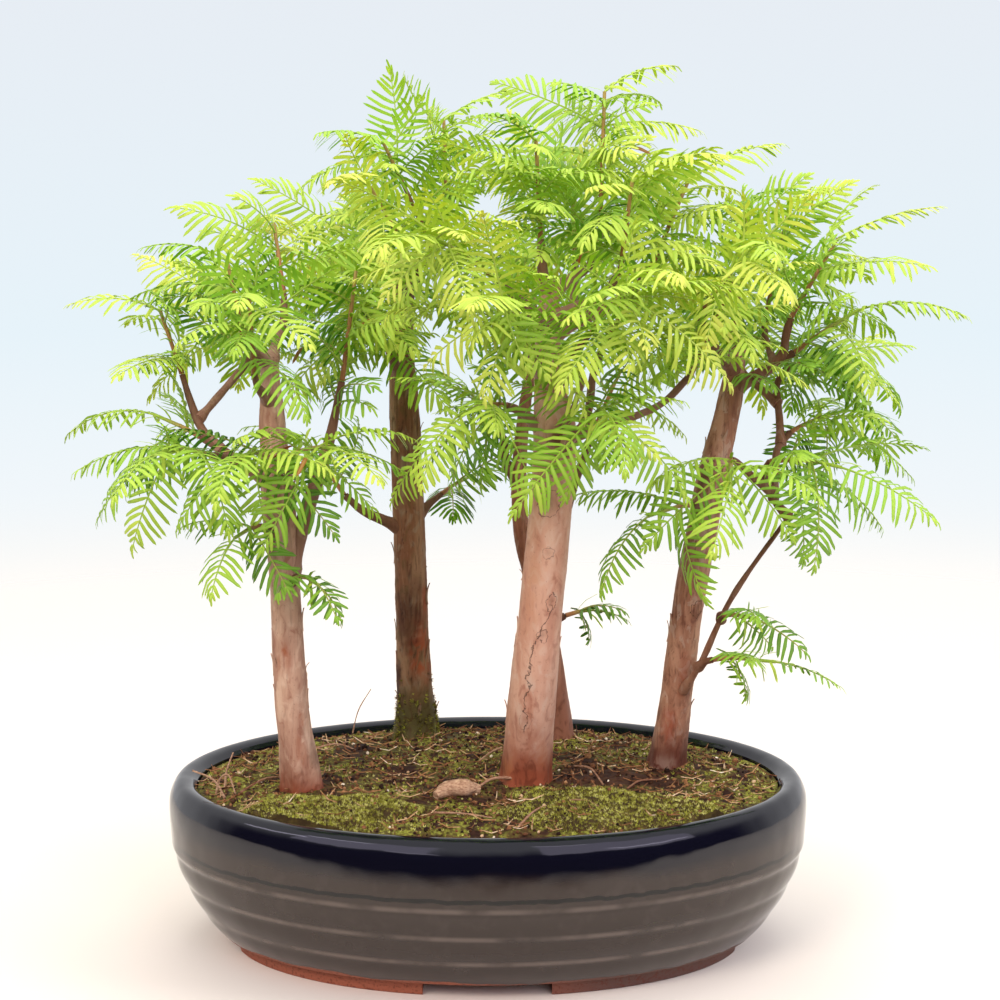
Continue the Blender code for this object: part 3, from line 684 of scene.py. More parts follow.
@dataclass(frozen=True)
class Frond:
    """One flat spray: an arched rib with a row of leaflets on each side."""

    root: Vector
    along: Vector
    up: Vector
    length: float
    droop: float
    pairs: int

    def rib(self, share: float) -> tuple:
        """The rib's place, direction and upward normal a share of the way along it."""
        turn = self.droop * share
        arc = self.length / self.droop
        place = self.root + self.along * (arc * math.sin(turn)) - self.up * (arc * (1 - math.cos(turn)))
        along = self.along * math.cos(turn) - self.up * math.sin(turn)
        return place, along, self.along * math.sin(turn) + self.up * math.cos(turn)

    def reach(self, share: float) -> float:
        """The length of the leaflets at a share of the rib."""
        first, more, power = LEAFLET_SWELL
        reach = LEAFLET_LENGTH * math.sqrt(self.length / FROND_LENGTH)
        return reach * math.sin(math.pi * (first + more * share)) ** power

    def leaflet_tip(self, share: float, side: int, lean: float) -> Vector:
        """The tip of the leaflet whose root is at a share of the rib, on one side."""
        place, along, up = self.rib(share)
        across = along.cross(up) * side
        reach = self.reach(share)
        return place + (along * math.cos(lean) + across * math.sin(lean) - up * LEAFLET_DIP) * reach

    def coarse(self, base: list) -> tuple:
        """The coarse solid of the frond, growing out of four corners.

        Args:
            base: the four corners on the stem.

        Returns:
            Its points, with the corners first, and its faces.
        """
        points = [corner.copy() for corner in base]
        sections = []
        for number in range(self.pairs + 1):
            share = FIRST_LEAFLET + (LAST_LEAFLET - FIRST_LEAFLET) * number / self.pairs
            place, along, up = self.rib(share)
            across = along.cross(up) * (RIB_WIDTH / 2)
            top = place + up * (RIB_HEIGHT / 2)
            sections.append(tuple(len(points) + i for i in range(RIB_POINTS)))
            points += [top - across, top + across, place - up * (RIB_HEIGHT / 2)]
        faces = stitch(points, (0, 1, 2, 3), sections[0])
        for number in range(self.pairs):
            left, right, under = sections[number]
            next_left, next_right, next_under = sections[number + 1]
            faces += [(left, right, next_right), (left, next_right, next_left)]
            share = FIRST_LEAFLET + (LAST_LEAFLET - FIRST_LEAFLET) * (number + 0.5) / self.pairs
            lean = TERMINAL_LEAN if number == self.pairs - 1 else leaflet_lean(share)
            for side, edge, next_edge in ((-1, left, next_left), (1, right, next_right)):
                tip = len(points)
                points.append(self.leaflet_tip(share, side, lean))
                faces += [(edge, next_edge, tip), (under, next_under, tip)]
                faces += [(edge, under, tip), (next_edge, next_under, tip)]
        faces.append(sections[-1])
        return points, faces


def leaflet_lean(share: float) -> float:
    """The angle between a leaflet and the rib, closing towards the tip."""
    return math.radians(LEAFLET_LEAN - LEAFLET_CLOSING * share)


def stitch(points: list, first: tuple, second: tuple) -> list:
    """Triangles between two rings of points that may differ in count.

    Args:
        points: all points.
        first: the first ring's indices.
        second: the second ring's indices.

    Returns:
        The triangles.
    """
    axis = middle_of(points, second) - middle_of(points, first)
    rings = [turned(points, ring, axis) for ring in (first, second)]
    corner = points[rings[0][0]]
    start = min(range(len(rings[1])), key=lambda i: (points[rings[1][i]] - corner).length)
    a = rings[0] + rings[0][:1]
    b = rings[1][start:] + rings[1][:start + 1]
    faces = []
    i = j = 0
    while i < len(first) or j < len(second):
        if (i + 0.5) / len(first) < (j + 0.5) / len(second):
            faces.append((a[i], a[i + 1], b[j]))
            i += 1
        else:
            faces.append((a[i], b[j + 1], b[j]))
            j += 1
    return faces


def middle_of(points: list, ring: tuple) -> Vector:
    """The mean place of a ring's points."""
    return sum((points[i] for i in ring), Vector()) / len(ring)


def turned(points: list, ring: tuple, axis: Vector) -> list:
    """A ring's indices in the order that runs round an axis one way."""
    middle = middle_of(points, ring)
    normal = Vector()
    for i in range(len(ring)):
        normal += (points[ring[i]] - middle).cross(points[ring[(i + 1) % len(ring)]] - middle)
    return list(ring) if normal.dot(axis) > 0 else list(reversed(ring))


@dataclass
class Stem:
    """A shoot's square stem: its rings, and the faces where fronds grow out of it."""

    rings: list
    joints: list
    end: tuple

    def mesh(self) -> tuple:
        """The coarse points and faces."""
        return skin(self.rings)

    def line(self) -> list:
        """The middle of each ring."""
        return [sum(ring, Vector()) / len(ring) for ring in self.rings]


def grow_stem(shoot: Shoot, start: Vector, heading: Vector, trunk: Vector, stray: float,
              draw: random.Random) -> Stem:
    """Grow the stem of a shoot, from its limb's end to its tip or to a place that strays from it.

    Args:
        shoot: the shoot.
        start: the limb's end.
        heading: the limb's direction there.
        trunk: the top of the tree's trunk.
        stray: how far the tip may stray, as a share.
        draw: the shoot's own random numbers.

    Returns:
        The stem.
    """
    away = Vector(draw.uniform(-1, 1) for _ in range(3))
    tip = mm(*shoot.tip) + away * (stray * STEM_STRAY)
    start = start + heading * STEM_GAP
    length = (tip - start).length
    upright = abs((tip - start).normalized().z)
    joints = max(1, round((length - FIRST_JOINT) / JOINT_SPACING))
    bow = UP * (STEM_BOW * length * (1 - upright))
    distances = [0]
    for number in range(joints):
        middle = FIRST_JOINT + (length - FIRST_JOINT) * number / joints
        distances += [middle - JOINT_LENGTH / 2, middle + JOINT_LENGTH / 2]
    distances.append(length)
    line = []
    for distance in distances:
        share = distance / length
        line.append(start.lerp(tip, share) + bow * (4 * share * (1 - share)))
    axis = (tip - start).normalized()
    level = axis.cross(UP)
    if level.length < LEAST_LEVEL:
        level = Vector((trunk.y - start.y, start.x - trunk.x, 0))
    level.normalize()
    found = []
    angle = 0.0
    rings = []
    turn_each = TURN_UPRIGHT if upright > UPRIGHT else TURN_LEVEL
    for index, (point, (along, _)) in enumerate(zip(line, frames(line))):
        if index == 0:
            along = heading
        joint = (index - 1) // 2
        if 0 <= joint < joints and index % 2 == 1:
            wanted = turn_each * (joint % 2 - 0.5) + draw.uniform(-TURN_STRAY, TURN_STRAY)
            quarter = round((wanted - angle) / 90)
            angle = wanted - 90 * quarter
            found.append((index, quarter % 4))
        side = (level - along * level.dot(along)).normalized()
        other = along.cross(side)
        radius = STEM_BASE + (STEM_TIP - STEM_BASE) * distances[index] / length
        ring = []
        for corner in range(4):
            a = math.radians(angle - 45 + 90 * corner)
            ring.append(point + (side * math.cos(a) + other * math.sin(a)) * (radius * math.sqrt(2)))
        rings.append(ring)
    sites = []
    for index, quarter in found:
        for face in (quarter, (quarter + 2) % 4):
            low = index * 4
            sites.append((low + face, low + (face + 1) % 4, low + 4 + (face + 1) % 4, low + 4 + face))
    count = 4 * len(rings)
    return Stem(rings, sites, tuple(range(count - 4, count)))


@dataclass(frozen=True)
class Site:
    """Where a frond grows out of a stem: four corners, the stem's direction and the way out of the tree."""

    corners: tuple
    axis: Vector
    outward: Vector
    terminal: bool = False
    droop: float = FROND_DROOP

    def frond(self, size: float, attempt: int, draw: random.Random) -> Frond:
        """One try at a frond here. Later tries stray further.

        Args:
            size: the size of the shoot's fronds.
            attempt: the number of this try.
            draw: random numbers.

        Returns:
            The frond.
        """
        stray = attempt / FROND_TRIES

        def wander(span: tuple) -> float:
            """A random angle that widens with each try."""
            return math.radians(draw.uniform(-1, 1) * (span[0] + span[1] * stray))

        corners = self.corners
        middle = sum(corners, Vector()) / 4
        normal = (corners[1] - corners[0]).cross(corners[3] - corners[0]).normalized()
        lean = math.radians(FROND_LEAN) + wander(LEAN_STRAY)
        along = self.axis * math.cos(lean) + normal * math.sin(lean)
        if self.terminal:
            along = (self.axis + self.outward * (TERMINAL_BEND * max(0, self.axis.z) ** 2)).normalized()
        swing = wander(SWING_STRAY)
        tilt = wander(TILT_STRAY)
        helper = along.orthogonal().normalized()
        along = Matrix.Rotation(swing, 3, helper) @ along
        along = Matrix.Rotation(tilt, 3, along.cross(helper)) @ along
        along = (along - UP * FROND_SINK).normalized()
        up = UP * (1 - abs(along.z)) - self.outward * along.z
        up = (up - along * up.dot(along)).normalized()
        up = Matrix.Rotation(wander(ROLL_STRAY), 3, along) @ up
        length = FROND_LENGTH * size * draw.uniform(*FROND_SIZES) * (1 - FROND_SHRINK * stray)
        if self.terminal:
            length *= TERMINAL_SHARE
        droop = math.radians(self.droop) + wander(DROOP_STRAY)
        return Frond(middle, along, up, length, droop, MANY_PAIRS if length > LONG_FROND else FEW_PAIRS)


@dataclass
class GrownShoot:
    """A leafy shoot as it grew: its name, tree, stem, fronds and random numbers."""

    name: str
    tree: str
    stem: Stem
    size: float
    trunk: Vector
    draw: random.Random
    fronds: list = field(default_factory=list)

    def site(self, corners: tuple, terminal: bool) -> Site:
        """The site of a frond on this shoot's stem.

        Args:
            corners: four indices into the stem's points.
            terminal: whether it is the stem's end.

        Returns:
            The site.
        """
        rings = self.stem.rings
        points = [point for ring in rings for point in ring]
        after = min(corners[0] // 4 + 1, len(rings) - 1)
        axis = (sum(rings[after], Vector()) - sum(rings[after - 1], Vector())).normalized()
        found = tuple(points[i] for i in corners)
        return Site(found, axis, way_out(sum(found, Vector()) / 4, self.trunk), terminal)


def grow_frond(space: Space, owner: str, site: Site, size: float, draw: random.Random,
               tries: int = FROND_TRIES) -> Frond:
    """Grow a frond on a site, bent until it is clear of all that has grown.

    Args:
        space: what has grown.
        owner: the shoot's name.
        site: where it grows.
        size: the size of the shoot's fronds.
        draw: random numbers.
        tries: how often it is bent.

    Returns:
        The frond, or None where there is no room.
    """
    count = len(site.corners)
    for attempt in range(tries):
        frond = site.frond(size, attempt, draw)
        shape, faces = frond.coarse(site.corners)
        leafy = [tuple(i - count for i in face) for face in faces[count + RIB_POINTS:]]
        if not space.is_free(shape[count:], leafy):
            continue
        if not space.is_free(shape, faces, passing=(owner,)):
            continue
        space.add(shape, faces, owner)
        return frond
    return None


def grow_forest() -> tuple:
    """Grow all limbs, stems and fronds in turn into free space, as in the part's source.

    Returns:
        The space, the limbs of each tree by name, and the grown shoots.
    """
    space = Space()
    woods = {}
    ends = {}
    shoots = []
    for tree in TREES:
        points, radii = tree.line()
        space.add(*tube(points, radii, TRUNK_SIDES), "wood")
        woods[tree.name], tree_ends = grow_limbs(tree)
        ends.update(tree_ends)
        for limb in woods[tree.name]:
            space.add(*limb.mesh(), "wood")
    for tree in TREES:
        points, _ = tree.line()
        for number, shoot in enumerate(tree.shoots, start=1):
            name = tree.shoot_name(number)
            draw = random.Random(name)
            for attempt in range(STEM_TRIES):
                stem = grow_stem(shoot, *ends[shoot], points[-1], attempt / STEM_TRIES, draw)
                if space.is_free(*stem.mesh()):
                    break
            space.add(*stem.mesh(), name)
            shoots.append(GrownShoot(name, tree.name, stem, shoot.size, points[-1], draw))
    for terminal in (True, False):
        for shoot in shoots:
            for corners in [shoot.stem.end] if terminal else shoot.stem.joints:
                site = shoot.site(corners, terminal)
                frond = grow_frond(space, shoot.name, site, shoot.size, shoot.draw)
                if frond:
                    shoot.fronds.append(frond)
    return space, woods, shoots


def smooth_line(points: list, radii: list, step: float) -> tuple:
    """A smooth curve through a line of points, with even steps.

    Args:
        points: the line.
        radii: the radius at each point.
        step: the distance between the new points.

    Returns:
        The new points and their radii.
    """
    line = []
    thick = []
    last = len(points) - 1
    for index in range(last):
        a, b = points[index], points[index + 1]
        before = points[index - 1] if index else a * 2 - b
        after = points[index + 2] if index + 2 <= last else b * 2 - a
        count = max(1, round((b - a).length / step))
        for i in range(count):
            t = i / count
            bent = b - before
            drawn = (before * 2 - a * 5 + b * 4 - after) * t * t
            drawn += (a * 3 - before - b * 3 + after) * t ** 3
            line.append((a * 2 + bent * t + drawn) / 2)
            thick.append(radii[index] + (radii[index + 1] - radii[index]) * (t * t * (3 - 2 * t)))
    line.append(points[-1].copy())
    thick.append(radii[-1])
    return line, thick


def ring_faces(rings: int, sides: int, first: int = 0) -> np.ndarray:
    """The four-cornered faces between rings of equal count.

    Args:
        rings: how many rings there are.
        sides: the points in each ring.
        first: the number of the first point.

    Returns:
        A row of corners for each face.
    """
    level, side = np.meshgrid(np.arange(rings - 1), np.arange(sides), indexing="ij")
    after = (side + 1) % sides
    low = first + level * sides
    return np.stack([low + side, low + after, low + sides + after, low + sides + side], -1).reshape(-1, 4)


def ring_caps(count: int, sides: int) -> list:
    """The two end faces of rings with some points in all."""
    return [tuple(reversed(range(sides))), tuple(range(count - sides, count))]


def capped_tube(shape: Shape, points: list, radii: list, sides: int, finish: int = 0,
                **values: float) -> None:
    """Add a closed smooth tube to a shape.

    Args:
        shape: the shape in the making.
        points: the tube's line.
        radii: its radius at each point.
        sides: how many sides it has.
        finish: the material number.
        values: for each name one value, or one for each point of the line.
    """
    corners, _ = tube(points, radii, sides)
    spread = {}
    for name, value in values.items():
        spread[name] = np.repeat(value, sides) if np.ndim(value) else value
    shape.add(np.array([tuple(corner) for corner in corners]),
              [ring_faces(len(points), sides), *ring_caps(len(corners), sides)],
              finish, **spread)


@dataclass(frozen=True)
class FrondDetail:
    """The form of the fine fronds.

    Attributes:
        spacing: the distance between pairs of leaflets.
        width: a leaflet's greatest width.
        ridge: how far its midline stands up.
        first: where the first pair stands on the rib, as a share.
        last: where the last pair stands.
        shrink: how much shorter the last leaflets are.
        shrink_from: where on the rib they start to shorten.
        spread: degrees by which the first leaflets stand further out from the rib.
        gather: degrees by which the last leaflets close towards the rib.
        rib: the rib's radius at its root and tip.
        rib_rings: how many rings the rib has.
        rib_sides: the corners of each ring.
        terminal: the length of the leaflet at the rib's end.
        slope: the least and greatest share by which a leaflet falls at its root. It rises below 0.
        curl: the least and greatest share by which it bends down.
        dry: the share of leaflets that have dried.
        stations: places along a leaflet with its width there, as shares.
    """

    spacing: float = 3.0 * MM
    width: float = 1.7 * MM
    ridge: float = 0.2 * MM
    first: float = 0.08
    last: float = 0.97
    shrink: float = 0.58
    shrink_from: float = 0.6
    spread: float = 12
    gather: float = 26
    rib: tuple = (0.5 * MM, 0.2 * MM)
    rib_rings: int = 9
    rib_sides: int = 5
    terminal: float = 5 * MM
    slope: tuple = (-0.4, -0.14)
    curl: tuple = (0.5, 0.95)
    dry: float = 0.0008
    stations: tuple = ((0.0, 0.4), (0.14, 0.84), (0.5, 1.0), (0.9, 0.72))


@dataclass
class Foliage:
    """The fine fronds and stems of one tree's shoots."""

    draw: random.Random
    detail: FrondDetail = field(default_factory=FrondDetail)
    shape: Shape = field(default_factory=Shape)
    rows: list = field(default_factory=list)

    def add_frond(self, frond: Frond, tone: float) -> None:
        """Add one fine frond: its rib now, its leaflets to the rows that are made together later.

        Args:
            frond: the frond's place and form.
            tone: its colour, from 0 for young to 0.9 for deep green.
        """
        detail, draw = self.detail, self.draw
        line = [frond.rib(i / (detail.rib_rings - 1))[0] for i in range(detail.rib_rings)]
        radii = tapered(*detail.rib, detail.rib_rings)
        capped_tube(self.shape, line, radii, detail.rib_sides, 1, tone=tone * 0.6)
        pairs = max(5, round(frond.length * (detail.last - detail.first) / detail.spacing))
        slope = draw.uniform(*detail.slope)
        curl = draw.uniform(*detail.curl)
        for number in range(pairs):
            share = detail.first + (detail.last - detail.first) * number / (pairs - 1)
            place, along, up = frond.rib(share)
            lean = leaflet_lean(share) + math.radians(detail.spread) * (1 - ease(0, 0.4, share))
            lean -= math.radians(detail.gather) * ease(0.55, 1, share)
            reach = frond.reach(share) * (1 - detail.shrink * ease(detail.shrink_from, 1, share))
            for side in (-1, 1):
                across = along.cross(up) * side
                turn = lean + math.radians(draw.gauss(0, 4.5))
                way = along * math.cos(turn) + across * math.sin(turn)
                roll = math.radians(draw.gauss(0, 13))
                flat = up * math.cos(roll) + way.cross(up) * math.sin(roll)
                hue = tone - 0.13 * ease(0.45, 1, share) + draw.gauss(0, 0.05)
                hue = min(0.88, max(0, hue))
                if draw.random() < detail.dry:
                    hue = 1.0
                self.rows.append((
                    *(place + across * (detail.rib[1])), *way, *flat, reach * draw.uniform(0.9, 1.05),
                    slope + draw.gauss(0, 0.04), curl + draw.gauss(0, 0.08),
                    detail.width * draw.uniform(0.9, 1.08) * (1 - 0.3 * ease(0.75, 1, share)), hue,
                ))
        place, along, up = frond.rib(1)
        self.rows.append((
            *place, *along, *up, detail.terminal * draw.uniform(0.7, 1.1), slope, curl,
            detail.width * 0.7, max(0, tone - 0.14),
        ))

    def add_stem(self, line: list, radii: list, tones: tuple) -> None:
        """Add a smooth round stem with pairs of single leaflets that arch down from it.

        Args:
            line: the middle of the stem.
            radii: its radius at each point.
            tones: its colour at the root and at the tip.
        """
        fine, thick = smooth_line(line, radii, 2.5 * MM)
        tones = np.linspace(*tones, len(fine))
        capped_tube(self.shape, fine, thick, 8, 1, tone=tones)
        turn = self.draw.uniform(0, math.tau)
        for place, (along, side), tone in list(zip(fine, frames(fine), tones))[2::2]:
            turn += math.pi / 2 + self.draw.gauss(0, 0.3)
            other = along.cross(side)
            for half in (0, math.pi):
                out = side * math.cos(turn + half) + other * math.sin(turn + half)
                way = (out + along * self.draw.uniform(0.5, 1.0)).normalized()
                flat = (UP - way * way.z).normalized() if abs(way.z) < 0.95 else way.orthogonal().normalized()
                self.rows.append((
                    *(place + out * (0.8 * MM)), *way, *flat, self.draw.uniform(8, 13) * MM,
                    self.draw.uniform(-0.1, 0.1), self.draw.uniform(0.3, 0.7), 1.5 * MM, 0.15 + 0.4 * tone,
                ))

    def add_leaflets(self) -> None:
        """Turn the rows into leaflets: flat blades with a low ridge, rounded tip and narrow root."""
        rows = np.array(self.rows)
        root, way, up = rows[:, 0:3], rows[:, 3:6], rows[:, 6:9]
        reach, slope, curl, width, tone = (rows[:, i, None] for i in range(9, 14))
        across = np.cross(way, up)
        blocks = []
        for share, swell in self.detail.stations:
            middle = root + way * reach * share - up * reach * (slope * share + curl * share ** 2)
            side = across * width * (swell / 2)
            blocks += [middle - side, middle + side, middle + up * (self.detail.ridge * swell)]
        blocks.append(root + way * reach - up * reach * (slope + curl))
        points = np.stack(blocks, 1)
        faces = []
        count = len(self.detail.stations)
        for level in range(count - 1):
            low = level * 3
            for a, b in ((0, 2), (2, 1), (1, 0)):
                faces.append((low + a, low + b, low + 3 + b, low + 3 + a))
        low = (count - 1) * 3
        tips = [(low + a, low + b, low + 3) for a, b in ((0, 2), (2, 1), (1, 0))] + [(0, 1, 2)]
        first = (np.arange(len(rows)) * (low + 4))[:, None, None]
        ridge = np.zeros(low + 4)
        ridge[2::3] = 1
        ridge[-1] = 0.4
        self.shape.add(
            points, [(np.array(faces) + first).reshape(-1, 4), (np.array(tips) + first).reshape(-1, 3)], 0,
            tone=np.repeat(tone[:, 0], low + 4), rib=np.tile(ridge, len(rows)),
        )


@dataclass(frozen=True)
class LeafFinish:
    """Fresh conifer leaflets: waxed, thin and lit through by the light behind them.

    Attributes:
        stops: colours from young to deep green, then a dry one.
        roughness: a satin wax, so that each leaflet shows a soft glint.
        ior: the refractive index of leaf wax.
        through: the share of light that passes through the blade.
    """

    stops: tuple = (
        (0.0, "#E6E872"), (0.2, "#D2E25C"), (0.42, "#B6D648"), (0.62, "#98C83C"), (0.8, "#6EA82E"),
        (0.92, "#4A8424"), (1.0, "#A8652A"),
    )
    roughness: float = 0.42
    ior: float = 1.45
    through: float = 0.38

    def make(self) -> bpy.types.Material:
        """Make the leaf material."""
        made, tree, output = new_material("waxed leaf blade, grown")
        tone = attribute(tree, "tone")
        place = add_node(tree, "TexCoord")
        # Patches of about 9 mm vary the green a little from leaflet to leaflet.
        patch = add_node(tree, "TexNoise",
                         {"Scale": 110.0, "Detail": 2.0, "Vector": place.outputs["Object"]})
        shift = add_node(tree, "Math",
                         {"operation": "MULTIPLY_ADD", 1: 0.16, 2: -0.08, 0: patch.outputs["Fac"]})
        moved = add_node(tree, "Math", {"operation": "ADD", 0: tone, 1: shift})
        dry = add_node(tree, "Math", {"operation": "GREATER_THAN", 1: 0.96, 0: tone})
        chosen = add_node(tree, "Math", {"operation": "MAXIMUM", 0: moved, 1: dry})
        green = add_node(tree, "ValToRGB", {"stops": self.stops, "Fac": chosen})
        pale = add_node(tree, "Math", {"operation": "MULTIPLY", 1: 0.22, 0: attribute(tree, "rib")})
        colour = layered(tree, green.outputs["Color"], "#E4F08A", pale.outputs[0])
        skin_shader = add_node(
            tree, "BsdfPrincipled",
            {"Roughness": self.roughness, "IOR": self.ior, "Metallic": 0.0, "Base Color": colour})
        lit = add_node(tree, "HueSaturation",
                       {"Saturation": 1.1, "Value": 1.1, "Hue": 0.492, "Color": colour})
        glow = add_node(tree, "BsdfTranslucent", {"Color": lit.outputs["Color"]})
        mixed = add_node(tree, "MixShader", {0: self.through, 1: skin_shader, 2: glow})
        tree.links.new(mixed.outputs[0], output.inputs["Surface"])
        return made


@dataclass(frozen=True)
class StemFinish:
    """Soft green shoots that turn tan and woody towards their roots."""

    stops: tuple = ((0.0, "#B9C85A"), (0.35, "#94B23C"), (0.6, "#A79A55"), (0.8, "#A8784A"),
                    (1.0, "#8C5636"))
    roughness: float = 0.5
    ior: float = 1.45

    def make(self) -> bpy.types.Material:
        """Make the stem material."""
        made, tree, output = new_material("green shoot bark, grown")
        tone = attribute(tree, "tone")
        colour = add_node(tree, "ValToRGB", {"stops": self.stops, "Fac": tone})
        shader = add_node(tree, "BsdfPrincipled",
                          {"Roughness": self.roughness, "IOR": self.ior, "Metallic": 0.0,
                           "Base Color": colour.outputs["Color"]})
        tree.links.new(shader.outputs[0], output.inputs["Surface"])
        return made


@dataclass(frozen=True)
class Crown:
    """How the gaps between the grown fronds are filled with smaller ones.

    Attributes:
        stem_step: the distance between extra pairs along a stem.
        limb_step: the distance between fronds along a limb.
        limb_from: the share of a limb that stays bare.
        stem_size: the size of the extra fronds on stems, as a share of the shoot's own.
        limb_size: the size of those on limbs.
        trunk_from: the height above which the trunk carries fronds itself.
        tries: how often a frond is bent before its place stays empty.
        droop: how far the extra fronds arch over, in degrees.
        sparse_below: shoots with smaller fronds than this get no more of them.
        bare: for each tree the height in millimetres below which its wood stays bare.
        density: for each tree the share of the places that are filled.
    """

    stem_step: float = 6 * MM
    limb_step: float = 6 * MM
    limb_from: float = 0.5
    stem_size: tuple = (0.5, 0.85)
    limb_size: tuple = (0.45, 0.8)
    trunk_from: float = 0.9
    tries: int = 14
    droop: float = 28
    sparse_below: float = 0.8
    bare: dict = field(default_factory=lambda: {
        "left": 250, "back_left": 272, "centre": 296, "back_centre": 245, "right": 252})
    density: dict = field(default_factory=lambda: {
        "left": 0.55, "back_left": 0.85, "centre": 0.95, "back_centre": 0.4, "right": 0.5})

    def patch(self, place: Vector, axis: Vector, normal: Vector, radius: float) -> tuple:
        """Four corners on the side of a stem.

        Args:
            place: a point on the stem's line.
            axis: the stem's direction.
            normal: the way out to the side.
            radius: the stem's radius.

        Returns:
            The corners.
        """
        side = axis.cross(normal).normalized() * (0.5 * MM)
        up = axis * (0.5 * MM)
        middle = place + normal * radius
        return (middle - side - up, middle + side - up, middle + side + up, middle - side + up)

    def sprout(self, space: Space, owner: str, line: list, radii: list, spot: float, trunk: Vector,
               span: tuple, draw: random.Random) -> list:
        """Grow a pair of fronds at one place of a stem or limb.

        Args:
            space: what has grown.
            owner: the name that the stem is kept under.
            line: the stem's line.
            radii: its radius at each point.
            spot: the share of the line where the pair stands.
            trunk: the top of the tree's trunk.
            span: the least and greatest size.
            draw: random numbers.

        Returns:
            The fronds that found room.
        """
        reach = spot * (len(line) - 1)
        index = min(int(reach), len(line) - 2)
        share = reach - index
        place = line[index].lerp(line[index + 1], share)
        radius = radii[index] + (radii[index + 1] - radii[index]) * share
        axis = (line[index + 1] - line[index]).normalized()
        level = axis.orthogonal().normalized()
        turn = draw.uniform(0, math.tau)
        grown = []
        for half in (0, 1):
            normal = Matrix.Rotation(turn + math.pi * half, 3, axis) @ level
            corners = self.patch(place, axis, normal, radius)
            site = Site(corners, axis, way_out(place, trunk), droop=self.droop)
            frond = grow_frond(space, owner, site, draw.uniform(*span), draw, self.tries)
            if frond:
                grown.append(frond)
        return grown

    def fill(self, space: Space, woods: dict, shoots: list) -> dict:
        """Grow the extra fronds of the whole forest.

        Args:
            space: what has grown.
            woods: the limbs of each tree.
            shoots: the grown shoots.

        Returns:
            The extra fronds by tree.
        """
        found = {tree.name: [] for tree in TREES}
        for shoot in shoots:
            if shoot.size < self.sparse_below:
                continue
            draw = random.Random("more " + shoot.name)
            line = shoot.stem.line()
            length = sum((b - a).length for a, b in zip(line, line[1:]))
            radii = tapered(STEM_BASE, STEM_TIP, len(line))
            count = max(2, round(length / self.stem_step))
            for number in range(count):
                high = line[min(len(line) - 1, round((number + 0.6) / count * (len(line) - 1)))].z
                if draw.random() > self.density[shoot.tree] * ease(200 * MM, 285 * MM, high):
                    continue
                span = tuple(size * shoot.size for size in self.stem_size)
                found[shoot.tree] += self.sprout(space, shoot.name, line, radii, (number + 0.6) / count,
                                                 shoot.trunk, span, draw)
        for tree in TREES:
            draw = random.Random("limbs " + tree.name)
            points, thick = tree.line()
            top = Limb(*smooth_line(points, thick, 4 * MM))
            for limb in woods[tree.name] + [top]:
                if limb.dead:
                    continue
                length = sum((b - a).length for a, b in zip(limb.points, limb.points[1:]))
                first = self.trunk_from if limb is top else self.limb_from
                count = max(1, round(length * (1 - first) / self.limb_step))
                for number in range(count):
                    spot = first + (1 - first) * (number + 0.5) / count
                    low = limb.points[round(spot * (len(limb.points) - 1))].z < self.bare[tree.name] * MM
                    if low or draw.random() > self.density[tree.name]:
                        continue
                    found[tree.name] += self.sprout(space, "wood", limb.points, limb.radii, spot, points[-1],
                                                    self.limb_size, draw)
        return found


def layered(tree: bpy.types.NodeTree, below: bpy.types.NodeSocket | str, colour: str,
            share: bpy.types.NodeSocket) -> bpy.types.NodeSocket:
    """Lay a colour over another, which is a socket or a hex colour."""
    node = add_node(tree, "Mix", {"data_type": "RGBA", 7: colour, 0: share, 6: below})
    return node.outputs[2]


def masked(tree: bpy.types.NodeTree, source: bpy.types.NodeSocket, low: float, high: float,
           top: float = 1.0) -> bpy.types.NodeSocket:
    """A smooth mask that rises from 0 to top where its source goes from low to high."""
    node = add_node(tree, "MapRange",
                    {"interpolation_type": "SMOOTHSTEP", 1: low, 2: high, 4: top, 0: source})
    return node.outputs[0]


def attribute(tree: bpy.types.NodeTree, name: str) -> bpy.types.NodeSocket:
    """The value of a point attribute."""
    return add_node(tree, "Attribute", {"attribute_name": name}).outputs["Fac"]


def cloud(tree: bpy.types.NodeTree, grain: float, detail: float = 3.0, stretch: float = 1.0,
          bend: float = 0.0) -> bpy.types.NodeSocket:
    """A noise pattern in object space.

    Args:
        tree: the node tree.
        grain: the size of its patches in metres.
        detail: how many finer layers it has.
        stretch: how much longer the patches are upwards than across.
        bend: the noise's distortion.

    Returns:
        Its value, around 0.5.
    """
    place = add_node(tree, "TexCoord").outputs["Object"]
    squeezed = add_node(tree, "Mapping", {"Scale": (1, 1, 1 / stretch), "Vector": place})
    node = add_node(tree, "TexNoise",
                    {"Scale": 1 / grain, "Detail": detail, "Distortion": bend, "Vector": squeezed})
    return node.outputs["Fac"]


class Mark(Enum):
    """The kinds of marks on bark."""

    PALE = "pale"
    DARK = "dark"
    WARM = "warm"
    KNOT = "knot"


@dataclass(frozen=True)
class Patch:
    """A mark on a trunk.

    Attributes:
        kind: what it is.
        height: where its middle is above the ground, in millimetres.
        turn: where it is round the trunk, in degrees from the viewer's side towards the right.
        high: half its height in millimetres.
        wide: half its width in degrees.
        strength: how strong it is.
    """

    kind: Mark
    height: float
    turn: float
    high: float
    wide: float
    strength: float = 1.0

    def reach(self, high: float, turn: float) -> float:
        """How far from the mark's middle a place is."""
        across = (turn - self.turn + 180) % 360 - 180
        return math.hypot((high - self.height) / self.high, across / self.wide)


